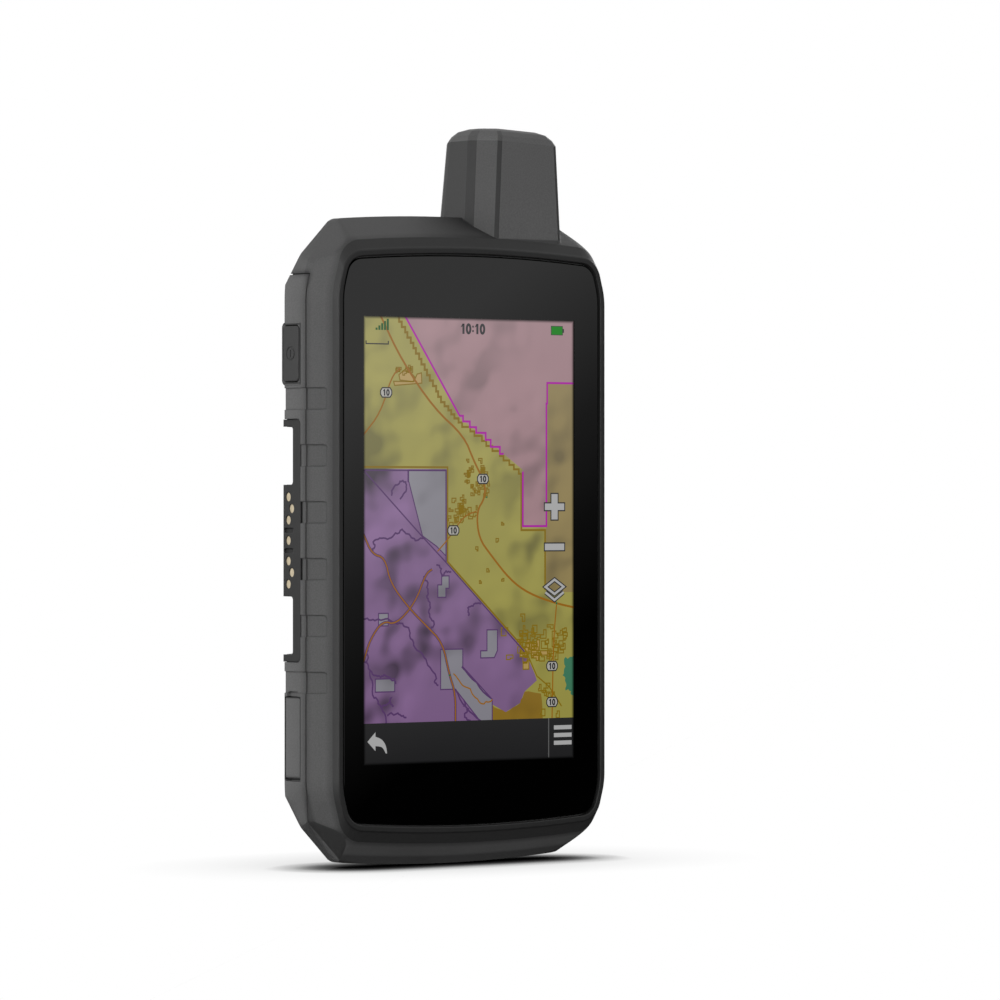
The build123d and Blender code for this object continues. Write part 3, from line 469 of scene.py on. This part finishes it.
def inside_lit_area(g, split):
    """Distance inside the lit area's edge, less than nothing outside it."""
    aside = g.math("ABSOLUTE", g.math("SUBTRACT", split.outputs["X"], LIT_MID_X))
    rise = g.math("ABSOLUTE", g.math("SUBTRACT", split.outputs["Z"], LIT_MID_Z))
    return g.math("MINIMUM", g.math("SUBTRACT", LIT_W / 2, aside), g.math("SUBTRACT", LIT_H / 2, rise))


def glass_material():
    """Glass over a printed black border, clear over the lit area."""
    g = Graph.material("bonded_glass")
    split = g.node("ShaderNodeSeparateXYZ", Vector=g.place())
    border = g.stretch(0.02 * MM, -0.02 * MM, inside_lit_area(g, split))
    g.surface(Base_Color=BLACK_INK, Roughness=GLASS_ROUGHNESS, Alpha=border, IOR=1.5)
    return g.material_data


def rubber_material(name, colour, rough=0.7):
    g = Graph.material(name)
    fine = g.noise(0.25 * MM, 2.0)
    base = g.blend(g.stretch(0.3, 0.7, fine), colour, scaled(colour, 1.25))
    bevel = g.node("ShaderNodeBevel", {"samples": 4}, Radius=0.2 * MM)
    bump = g.node("ShaderNodeBump", Strength=0.5, Distance=0.02 * MM, Height=fine)
    g.link(bevel.outputs["Normal"], bump.inputs["Normal"])
    g.surface(Base_Color=base, Roughness=rough, Normal=bump.outputs["Normal"])
    return g.material_data


def metal_material(name, colour, rough=0.25):
    g = Graph.material(name)
    stain = g.stretch(0.3, 0.75, g.noise(1.1 * MM, 3.0))
    base = g.blend(stain, colour, scaled(colour, 0.8))
    g.surface(Base_Color=base, Metallic=1.0, Roughness=g.math("MULTIPLY_ADD", stain, 0.12, rough))
    return g.material_data


def board_material():
    """Green solder mask with faint copper tracks under it."""
    g = Graph.material("solder_mask")
    tracks = g.node("ShaderNodeTexBrick", {"offset": 0.5}, Scale=1 / (3 * MM), Mortar_Size=0.08)
    g.link(g.place(), tracks.inputs["Vector"])
    base = g.blend(tracks.outputs["Fac"], (0.01, 0.09, 0.04, 1), (0.03, 0.17, 0.07, 1))
    g.surface(Base_Color=base, Roughness=0.35)
    return g.material_data


def clear_material():
    g = Graph.material("clear_film")
    haze = g.math("MULTIPLY", g.noise(5 * MM), 0.004)
    g.surface(Base_Color=WHITE, Alpha=haze, Roughness=0.1)
    return g.material_data


def plain_moulding(name, colour, rough=0.5):
    """Unseen or small plastic piece with a slight cloudiness."""
    g = Graph.material(name)
    cloud = g.stretch(0.3, 0.7, g.noise(2.5 * MM, 3.0))
    base = g.blend(cloud, colour, scaled(colour, 1.3))
    bevel = g.node("ShaderNodeBevel", {"samples": 4}, Radius=0.12 * MM)
    roughness = g.math("MULTIPLY_ADD", cloud, 0.1, rough)
    g.surface(Base_Color=base, Roughness=roughness, Normal=bevel.outputs["Normal"])
    return g.material_data


# ---------------------------------------------------------------- the picture on the display
LAYER = 0.012 * MM                                 # the picture is a stack of thin inlays just under the
LAYERS_DEEP = 18                                   # front of the glass, and its layer 0 has its back here
HILLS = 19 * MM                                    # size of the hills on the map
RANGES = 30 * MM                                   # size of the stretches with and without hills
HILL_LIGHT = Vector((2.2 * MM, 0, -2.2 * MM))      # away from the light that shades them


def on_screen(u, v):
    """Point of the lit area, from 0 to 1 to the right and upwards, in metres."""
    return Vector((LIT_X + u * LIT_W, LIT_Z + v * LIT_H))


def placed(points):
    return [on_screen(u, v) for u, v in points]


def box_at(u0, v0, u1, v1):
    return placed([(u0, v0), (u1, v0), (u1, v1), (u0, v1)])


def patch(points):
    """Filled area."""
    return ("patch", points, None)


def ribbon(points, width, closed=False):
    """Line of this width in millimetres along the points."""
    half = width * MM / 2
    left, right = [], []
    count = len(points)
    for i, point in enumerate(points):
        before = points[i - 1] if i or closed else point
        after = points[(i + 1) % count] if i < count - 1 or closed else point
        a = (point - before).normalized() if (point - before).length else (after - point).normalized()
        b = (after - point).normalized() if (after - point).length else a
        along = (a + b).normalized() if (a + b).length > 0.1 else a
        across = Vector((-along.y, along.x)) * half / max(0.5, abs(along.dot(a)))
        left.append(point + across)
        right.append(point - across)
    return ("loop" if closed else "ribbon", left, right)


def smooth(points, rounds=2):
    """Corners of an open line cut off again and again."""
    for _ in range(rounds):
        cut = [points[0]]
        for a, b in zip(points, points[1:]):
            cut += [a.lerp(b, 0.25), a.lerp(b, 0.75)]
        points = cut + [points[-1]]
    return points


def wander(points, amount, seed, rounds=3):
    """Line that strays to either side, by amount in millimetres at first."""
    rng = random.Random(seed)
    for _ in range(rounds):
        longer = []
        for a, b in zip(points, points[1:]):
            across = Vector((a.y - b.y, b.x - a.x)).normalized()
            longer += [a, (a + b) / 2 + across * rng.uniform(-amount, amount) * MM]
        points = longer + [points[-1]]
        amount *= 0.55
    return points


def stairs(points, step, seed):
    """Line broken into steps of about this many millimetres."""
    rng = random.Random(seed)
    line = [points[0]]
    for a, b in zip(points, points[1:]):
        count = max(1, round((b - a).length / (step * MM)))
        for i in range(count):
            end = a.lerp(b, (i + 1) / count)
            mid = line[-1].lerp(end, rng.uniform(0.3, 0.7))
            line += [Vector((mid.x, line[-1].y)), Vector((mid.x, end.y)), end]
    return line


def plots(middle, spread, count, size, seed):
    """Small square-cut plots of land scattered round a point: closed outlines with one corner stepped in."""
    rng = random.Random(seed)
    loops = []
    for _ in range(count):
        mid = on_screen(middle[0] + rng.gauss(0, spread[0]), middle[1] + rng.gauss(0, spread[1]))
        wide, high = (size * MM * rng.uniform(0.5, 1.1) for _ in range(2))
        step_x, step_z = wide * rng.uniform(-0.4, 0.5), high * rng.uniform(-0.4, 0.5)
        turn_x, turn_z = rng.choice((-1, 1)), rng.choice((-1, 1))
        loop = [(-wide, -high), (wide, -high), (wide, step_z), (step_x, step_z), (step_x, high),
                (-wide, high)]
        loops.append([mid + Vector((x * turn_x, z * turn_z)) for x, z in loop])
    return loops


def inlay(name, shapes, layer, material):
    """One closed thin object of all these patches and lines, at this place in the stack."""
    back = GLASS_LOW[1] + (LAYERS_DEEP - layer) * LAYER
    front = back - LAYER
    mesh = bmesh.new()

    def face(*corners):
        mesh.faces.new(corners)

    for kind, first, second in shapes:
        if kind == "patch":
            ahead = [mesh.verts.new((p.x, front, p.y)) for p in first]
            behind = [mesh.verts.new((p.x, back, p.y)) for p in first]
            face(*ahead)
            face(*reversed(behind))
            for i in range(len(first)):
                face(ahead[i - 1], behind[i - 1], behind[i], ahead[i])
            continue
        rows = [[mesh.verts.new((p.x, y, p.y)) for p in side] for side, y in
                ((first, front), (second, front), (second, back), (first, back))]
        count = len(first)
        for i in range(count if kind == "loop" else count - 1):
            j = (i + 1) % count
            for row, other in zip(rows, rows[1:] + rows[:1]):
                face(row[i], row[j], other[j], other[i])
        if kind == "ribbon":
            face(*[row[0] for row in rows])
            face(*[row[-1] for row in reversed(rows)])
    bmesh.ops.recalc_face_normals(mesh, faces=mesh.faces)
    data = bpy.data.meshes.new(name)
    mesh.to_mesh(data)
    mesh.free()
    data.materials.append(material)
    made = bpy.data.objects.new(name, data)
    bpy.context.collection.objects.link(made)
    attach(made, "root")


def picture(name, colour, relief=0.0, haze=0.06):
    """Glowing finish of one kind of thing on the screen, with hills shaded as if lit from the upper left, a
    painted haze of reflection that grows towards the top, and painted soft shade along the lit area's edge.
    """
    g = Graph.material(name)
    place = g.place()
    split = g.node("ShaderNodeSeparateXYZ", Vector=place)
    shifted = g.node("ShaderNodeVectorMath", {"operation": "ADD"})
    g.link(place, shifted.inputs[0])
    shifted.inputs[1].default_value = HILL_LIGHT
    here, beside = (g.noise(HILLS, 2.0, 0.45, at) for at in (place, shifted.outputs[0]))
    slope = g.math("SUBTRACT", here, beside)
    rugged = g.stretch(0.36, 0.58, g.noise(RANGES, 1.0))
    dark = g.math("MULTIPLY", g.stretch(0.0, 0.085, slope), rugged)
    light = g.math("MULTIPLY", g.stretch(0.0, -0.1, slope), rugged)
    shade = g.math("MULTIPLY_ADD", dark, -relief, 1.0)
    shade = g.math("MULTIPLY_ADD", light, relief * 0.35, shade)
    # painted shade: the glow fades over the lit area's last millimetre to its edge
    rim = g.node("ShaderNodeMapRange", {"interpolation_type": "SMOOTHSTEP"},
                 Value=inside_lit_area(g, split), From_Min=-0.1 * MM, From_Max=0.9 * MM)
    lit = g.node("ShaderNodeVectorMath", {"operation": "SCALE"}, Scale=shade)
    lit.inputs[0].default_value = colour[:3]
    # painted reflection: glow of haze strength added, growing towards the top of the lit area
    height = g.stretch(LIT_Z, LIT_Z + LIT_H, split.outputs["Z"])
    glow_with_painted_haze = g.node("ShaderNodeVectorMath", {"operation": "ADD"})
    g.link(lit.outputs[0], glow_with_painted_haze.inputs[0])
    g.link(g.math("MULTIPLY", height, haze), glow_with_painted_haze.inputs[1])
    g.surface(Base_Color=BLACK_INK, Roughness=GLASS_ROUGHNESS, Emission_Color=glow_with_painted_haze.outputs[0],
              Emission_Strength=rim.outputs["Result"])
    return g.material_data


# Places on the screen run from 0 to 1 to the right and upwards.
PINK = [(0.19, 1), (0.45, 0.775), (0.55, 0.74), (0.66, 0.695), (0.75, 0.66), (0.75, 0.53), (0.865, 0.53),
        (0.865, 0.855), (1, 0.855), (1, 1)]
PARK = [(0, 0.66), (0.39, 0.66), (0.39, 0.45), (0.76, 0.25), (0.81, 0.195), (0.82, 0.18), (0.76, 0.155),
        (0.74, 0.13), (0.67, 0.11), (0.6, 0.13), (0.6, 0.09), (0, 0.09)]
HIGHWAY = [(0.08, 1), (0.18, 0.9), (0.33, 0.795), (0.47, 0.735), (0.52, 0.675), (0.57, 0.63), (0.57, 0.595),
           (0.53, 0.565), (0.54, 0.505), (0.6, 0.465), (0.69, 0.41), (0.78, 0.378), (0.91, 0.355),
           (1, 0.345)]
VALLEY = [(0, 0.515), (0.04, 0.47), (0.1, 0.462), (0.125, 0.405), (0.21, 0.35), (0.29, 0.31), (0.37, 0.27),
          (0.4, 0.2), (0.43, 0.155), (0.43, 0.09)]
PARK_ROAD = [(0.32, 0.435), (0.29, 0.425), (0.24, 0.36), (0.15, 0.312), (0.09, 0.322), (0.03, 0.28),
             (0, 0.23)]
SIGNS = [(0.105, 0.83), (0.56, 0.638), (0.42, 0.522), (0.893, 0.212), (0.893, 0.13)]
TOWN_DOTS = [(0.578, 0.597), (0.915, 0.356), (0.402, 0.197)]
PLOTS = (
    # middle, spread, how many, size in millimetres, seed
    ((0.45, 0.565), (0.028, 0.014), 26, 0.7, 12),
    ((0.55, 0.63), (0.02, 0.032), 22, 0.6, 13),
    ((0.79, 0.262), (0.05, 0.024), 26, 1.0, 14),
    ((0.93, 0.265), (0.025, 0.025), 14, 0.9, 15),
    ((0.9, 0.15), (0.035, 0.02), 8, 0.8, 16),
    ((0.2, 0.885), (0.02, 0.012), 6, 0.7, 17),
    ((0.6, 0.47), (0.09, 0.05), 6, 0.55, 18),
    ((0.5, 0.65), (0.012, 0.012), 14, 0.5, 19),
)
BAR_TOP = 0.0935                                   # upper edge of the tool bar
BUTTON_X = 0.905                                   # middle of the buttons over the map


def digit_one(u, v, size=1.0):
    stem = [(-0.004, -0.0115), (0.0055, -0.0115), (0.0055, 0.0115), (-0.004, 0.0115)]
    flag = [(-0.0125, 0.003), (-0.004, 0.0055), (0.0055, 0.0115), (-0.004, 0.0115)]
    return [patch(placed([(u + a * size, v + b * size) for a, b in shape])) for shape in (stem, flag)]


def digit_nought(u, v, size=1.0):
    turns = [math.tau * i / 16 for i in range(16)]
    ring = placed([(u + 0.0085 * size * math.cos(t), v + 0.0097 * size * math.sin(t)) for t in turns])
    return [ribbon(ring, 0.62 * size, closed=True)]


def grey_land():
    """Outlines of the grey blocks inside the park."""
    return [
        placed([(0.21, 0.657), (0.385, 0.657), (0.385, 0.465), (0.34, 0.487), (0.275, 0.51), (0.21, 0.633)]),
        placed([(0.365, 0.42), (0.4, 0.42), (0.4, 0.392), (0.385, 0.392), (0.385, 0.372), (0.347, 0.372),
                (0.347, 0.4), (0.365, 0.4)]),
        placed([(0.58, 0.297), (0.63, 0.297), (0.63, 0.25), (0.615, 0.234), (0.55, 0.234), (0.55, 0.25),
                (0.58, 0.25)]),
        box_at(0.07, 0.31, 0.115, 0.338),
        box_at(0.055, 0.163, 0.145, 0.192),
        placed([(0.36, 0.255), (0.465, 0.255), (0.465, 0.215), (0.605, 0.14), (0.605, 0.09), (0.55, 0.09),
                (0.43, 0.165), (0.36, 0.165)]),
    ]


def town_land():
    """Outlines of the town in the upper left and of the fields in the lower right."""
    town = [
        placed([(0.165, 0.87), (0.2, 0.885), (0.24, 0.865), (0.23, 0.855), (0.17, 0.858)]),
        placed([(0.14, 0.855), (0.235, 0.855), (0.25, 0.872), (0.27, 0.875), (0.272, 0.852),
                (0.145, 0.846)]),
    ]
    return town + plots((0.81, 0.245), (0.035, 0.022), 9, 1.7, 11)


def make_land():
    """The coloured areas of the map."""
    olive = picture("picture_land", srgb(140, 134, 62), 0.5)
    inlay("map_land", [patch(box_at(0, 0, 1, 1))], 0, olive)
    pink = picture("picture_pink", srgb(144, 112, 118), 0.5)
    inlay("map_range", [patch(placed(PINK))], 1, pink)
    tan = picture("picture_tan", srgb(128, 112, 66), 0.45)
    inlay("map_dry_land", [patch(box_at(0.865, 0.38, 1, 0.855))], 1, tan)
    purple = picture("picture_park", srgb(114, 86, 124), 0.8)
    inlay("map_park", [patch(placed(PARK))], 1, purple)
    scrub = [(0.6, 0.13), (0.67, 0.11), (0.74, 0.13), (0.76, 0.155), (0.84, 0.15), (0.85, 0.09), (0.6, 0.09)]
    ochre = picture("picture_scrub", srgb(126, 98, 26), 0.5)
    inlay("map_scrub", [patch(wander(placed(scrub), 0.5, 3, 2))], 2, ochre)
    lake = wander(placed([(1, 0.235), (0.96, 0.232), (0.945, 0.19), (0.96, 0.155), (1, 0.14)]), 0.9, 5)
    inlay("map_lake", [patch(lake)], 2, picture("picture_lake", srgb(50, 108, 80), 0.2))
    blocks = picture("picture_block", srgb(122, 120, 128), 0.4)
    inlay("map_blocks", [patch(p) for p in grey_land()], 3, blocks)
    sand = picture("picture_town", srgb(160, 134, 74), 0.1)
    inlay("map_town", [patch(p) for p in town_land()], 3, sand)


def make_outlines():
    """Dark olive borders and the outlines of plots and towns."""
    rim_line = placed([(0.16, 1), (0.24, 0.93), (0.37, 0.81), (0.45, 0.765)])
    edge = placed([(0.45, 0.765), (0.54, 0.735), (0.65, 0.69), (0.745, 0.65)])
    lines = [
        ribbon(stairs(rim_line, 1.5, 7), 0.58),
        ribbon(stairs(edge, 2.1, 8) + placed([(0.745, 0.522), (0.86, 0.522), (0.86, 0.385)]), 0.52),
        ribbon(placed([(0, 0.664), (0.393, 0.664), (0.393, 0.452), (0.765, 0.25)]), 0.46),
        ribbon(placed([(0.765, 0.25), (0.82, 0.19), (0.88, 0.165), (0.94, 0.12)]), 0.35),
    ]
    scatter = []
    for group in PLOTS:
        scatter += plots(*group)
    lines += [ribbon(loop, 0.3, closed=True) for loop in scatter + town_land()]
    inlay("map_outlines", lines, 4, picture("picture_outline", srgb(122, 98, 8), haze=0.02))


def make_park_lines():
    """Purple borders, tracks and the beds that the park's roads lie in."""
    lines = [
        ribbon(placed([(0, 0.657), (0.275, 0.508), (0.39, 0.448), (0.76, 0.246)]), 0.36),
        ribbon(placed([(0, 0.6565), (0.386, 0.6565), (0.386, 0.452)]), 0.36),
        ribbon(placed([(0.207, 0.657), (0.207, 0.63)]), 0.3),
    ]
    tracks = [
        [(0.13, 0.6), (0.17, 0.632), (0.2, 0.625), (0.17, 0.592)],
        [(0.04, 0.475), (0.05, 0.5), (0.12, 0.505), (0.18, 0.525), (0.23, 0.505), (0.28, 0.505)],
        [(0.28, 0.42), (0.3, 0.385), (0.31, 0.36), (0.32, 0.32), (0.31, 0.3)],
        [(0.34, 0.445), (0.37, 0.42), (0.41, 0.43)],
        [(0.49, 0.33), (0.5, 0.35), (0.55, 0.355)],
        [(0, 0.325), (0.07, 0.325), (0.15, 0.315), (0.21, 0.305), (0.24, 0.26), (0.3, 0.22), (0.34, 0.19),
         (0.35, 0.175)],
        [(0.02, 0.26), (0.01, 0.23), (0.06, 0.2), (0.1, 0.2), (0.15, 0.18)],
        [(0.03, 0.21), (0.05, 0.15), (0.08, 0.13), (0.1, 0.09)],
        [(0.08, 0.13), (0.13, 0.15), (0.14, 0.13)],
        [(0.11, 0.11), (0.16, 0.115), (0.2, 0.105)],
        [(0.46, 0.215), (0.6, 0.142)],
        [(0.43, 0.165), (0.55, 0.092)],
        [(0.47, 0.14), (0.49, 0.12), (0.48, 0.1), (0.5, 0.09)],
    ]
    first_seed = 20
    lines += [ribbon(wander(placed(t), 0.8, first_seed + i), 0.44) for i, t in enumerate(tracks)]
    lines += [ribbon(p, 0.3, closed=True) for p in grey_land()]
    lines += [ribbon(smooth(placed(road)), 0.74) for road in (VALLEY, PARK_ROAD)]
    inlay("map_park_lines", lines, 5, picture("picture_park_line", srgb(78, 50, 94), haze=0.03))


def make_range_line():
    """Magenta border of the pink area."""
    stepped = stairs(placed([(0.45, 0.78), (0.55, 0.742), (0.66, 0.695)]), 3.0, 9)
    right_part = placed([(0.752, 0.655), (0.752, 0.531), (0.866, 0.531), (0.866, 0.81), (0.87, 0.81),
                         (0.87, 0.857), (1, 0.857)])
    lines = [ribbon(placed([(0.195, 1), (0.45, 0.78)]) + stepped, 0.52), ribbon(right_part, 0.52)]
    inlay("map_range_line", lines, 6, picture("picture_magenta", srgb(158, 14, 148), haze=0.02))


def make_roads():
    lower_right = wander(placed([(0.42, 0.2), (0.5, 0.165), (0.56, 0.13), (0.605, 0.14)]), 0.6, 31)
    roads = [
        ribbon(smooth(placed(HIGHWAY)), 0.52),
        ribbon(smooth(placed([(0.17, 0.885), (0.13, 0.865), (0.08, 0.785), (0, 0.735)])), 0.38),
        ribbon(smooth(placed([(0.915, 0.352), (0.9, 0.27), (0.893, 0.09)])), 0.36),
        ribbon(smooth(placed(VALLEY)), 0.36),
        ribbon(smooth(placed([(0.345, 0.475), (0.4, 0.505), (0.47, 0.555), (0.53, 0.565)])), 0.34),
        ribbon(smooth(placed(PARK_ROAD)), 0.34),
        ribbon(lower_right, 0.34),
    ]
    inlay("map_roads", roads, 7, picture("picture_road", srgb(138, 90, 8), haze=0.02))


def make_signs():
    """Road signs and towns. Returns the ink on the signs."""
    plate = [(-0.026, -0.004), (-0.018, -0.0105), (0.018, -0.0105), (0.026, -0.004), (0.026, 0.004),
             (0.018, 0.0105), (-0.018, 0.0105), (-0.026, 0.004)]
    shields = [placed([(u + a, v + b) for a, b in plate]) for u, v in SIGNS]
    inlay("map_signs", [patch(p) for p in shields], 8, picture("picture_sign", srgb(158, 156, 150)))
    ink = [ribbon(p, 0.3, closed=True) for p in shields]
    for u, v in SIGNS:
        ink += digit_one(u - 0.008, v, 0.62) + digit_nought(u + 0.008, v, 0.62)
    dots = [plots(at, (0, 0), 1, 0.38, 40 + i)[0] for i, at in enumerate(TOWN_DOTS)]
    inlay("map_towns", [patch(p) for p in dots], 8, picture("picture_dot", srgb(12, 92, 48)))
    return ink


def plus_sign():
    """Outline of the button that zooms in."""
    stem, arm, bar, top = 0.015, 0.047, 0.0075, 0.029      # half widths, then half heights
    cross = [(stem, bar), (arm, bar), (arm, -bar), (stem, -bar), (stem, -top), (-stem, -top),
             (-stem, -bar), (-arm, -bar), (-arm, bar), (-stem, bar), (-stem, top), (stem, top)]
    return placed([(BUTTON_X + a, 0.575 + b) for a, b in cross])


def make_screen_signs(ink):
    """Clock, scale bar, signal, charge, the buttons over the map and the tool bar under it."""
    zoom = [plus_sign(), box_at(0.858, 0.476, 0.952, 0.491)]
    top_layer = placed([(0.861, 0.3925), (BUTTON_X, 0.376), (0.949, 0.3925), (BUTTON_X, 0.409)])
    low_layer = placed([(0.861, 0.38), (BUTTON_X, 0.3625), (0.949, 0.38)])
    cell = box_at(0.89, 0.9675, 0.943, 0.986)

    inlay("tool_bar", [patch(box_at(0, 0, 1, BAR_TOP))], 8, picture("picture_bar", srgb(31, 31, 32)))
    ink += [ribbon(p, 0.62, closed=True) for p in zoom]
    ink += [ribbon(cell, 0.3, closed=True), patch(box_at(0.9445, 0.972, 0.951, 0.981))]
    ink += [ribbon(top_layer, 1.15, closed=True), ribbon(low_layer, 1.15)]
    ink.append(ribbon(placed([(0.012, 0.945), (0.012, 0.938), (0.115, 0.938), (0.115, 0.945)]), 0.3))
    for digit, u in ((digit_one, 0.467), (digit_nought, 0.492), (digit_one, 0.533), (digit_nought, 0.558)):
        ink += digit(u, 0.976)
    ink += [patch(box_at(0.5095, v, 0.5165, v + 0.0045)) for v in (0.969, 0.979)]
    inlay("screen_ink", ink, 9, picture("picture_ink", srgb(34, 34, 38), haze=0.02))

    bars = [box_at(0.056 + 0.013 * i, 0.969, 0.065 + 0.013 * i, 0.974 + 0.005 * i) for i in range(5)]
    inlay("signal_bars", [patch(p) for p in bars], 9, picture("picture_signal", srgb(30, 82, 40), haze=0.01))
    inlay("charge_sign", [patch(cell)], 10, picture("picture_charge", srgb(20, 122, 26), haze=0.0))

    arrow = smooth(placed([(0.055, 0.064), (0.085, 0.058), (0.104, 0.044), (0.109, 0.026)]))
    arrow += smooth(placed([(0.103, 0.026), (0.09, 0.039), (0.075, 0.042), (0.055, 0.043)]))
    arrow += placed([(0.055, 0.032), (0.018, 0.053), (0.055, 0.074)])
    menu = [box_at(0.902, v, 0.988, v + 0.0095) for v in (0.032, 0.0495, 0.067)]
    light = [patch(p) for p in [*zoom, arrow, *menu]]
    light += [ribbon(top_layer, 0.6, closed=True), ribbon(low_layer, 0.6)]
    inlay("screen_icons", light, 10, picture("picture_icon", srgb(160, 160, 160), haze=0.03))
    divider = box_at(0.8745, 0.004, 0.8785, BAR_TOP)
    inlay("tool_bar_line", [patch(divider)], 10, picture("picture_line", srgb(92, 92, 92)))


def make_picture():
    make_land()
    make_outlines()
    make_park_lines()
    make_range_line()
    make_roads()
    make_screen_signs(make_signs())


def dress_cad_nodes():
    finishes = {
        "case_front": moulded_plastic("front_moulding", grey(112), painted_shading=front_painted_light_and_shade),
        "case_rear": moulded_plastic("rear_moulding", grey(112), painted_shading=rear_painted_shade),
        "seal_rubber": rubber_material("seal_rubber", grey(18)),
        "cover_glass": glass_material(),
        "black_tape": plain_moulding("black_tape", grey(10)),
        "clear_film": clear_material(),
        "display": plain_moulding("display_edge", grey(8), 0.3),
        "backlight": plain_moulding("backlight", grey(215), 0.4),
        "flex_film": plain_moulding("flex_film", srgb(150, 90, 30), 0.35),
        "magnesium": metal_material("magnesium", grey(150), 0.45),
        "circuit_board": board_material(),
        "steel": metal_material("steel", grey(165), 0.28),
        "black_steel": metal_material("black_steel", grey(70), 0.4),
        "tinned_steel": metal_material("tinned_steel", grey(185), 0.32),
        "black_plastic": plain_moulding("black_plastic", grey(28)),
        "gold": metal_material("gold_plate", srgb(236, 220, 188), 0.25),
        "ceramic": plain_moulding("ceramic", grey(205), 0.4),
        "copper": metal_material("copper", srgb(190, 110, 75), 0.3),
        "cable_jacket": rubber_material("cable_jacket", grey(25)),
        "key_rubber": rubber_material("key_rubber", grey(54), 0.62),
        "panel_plastic": moulded_plastic("panel_moulding", grey(36), 0.5),
        "battery_shell": plain_moulding("battery_shell", grey(45), 0.5),
    }
    for part in frame["record"]["subparts"]:
        node = NODES[part["node"]]
        node.data.materials.clear()
        finish = "case_rear" if part["node"] == "port_cover" else part["material_slot"]
        node.data.materials.append(finishes[finish])


make_camera()
make_world()
make_floor()
for lamp in LAMPS:
    area_light(*lamp)
dress_cad_nodes()
make_picture()
bpy.context.scene.view_settings.view_transform = "Standard"
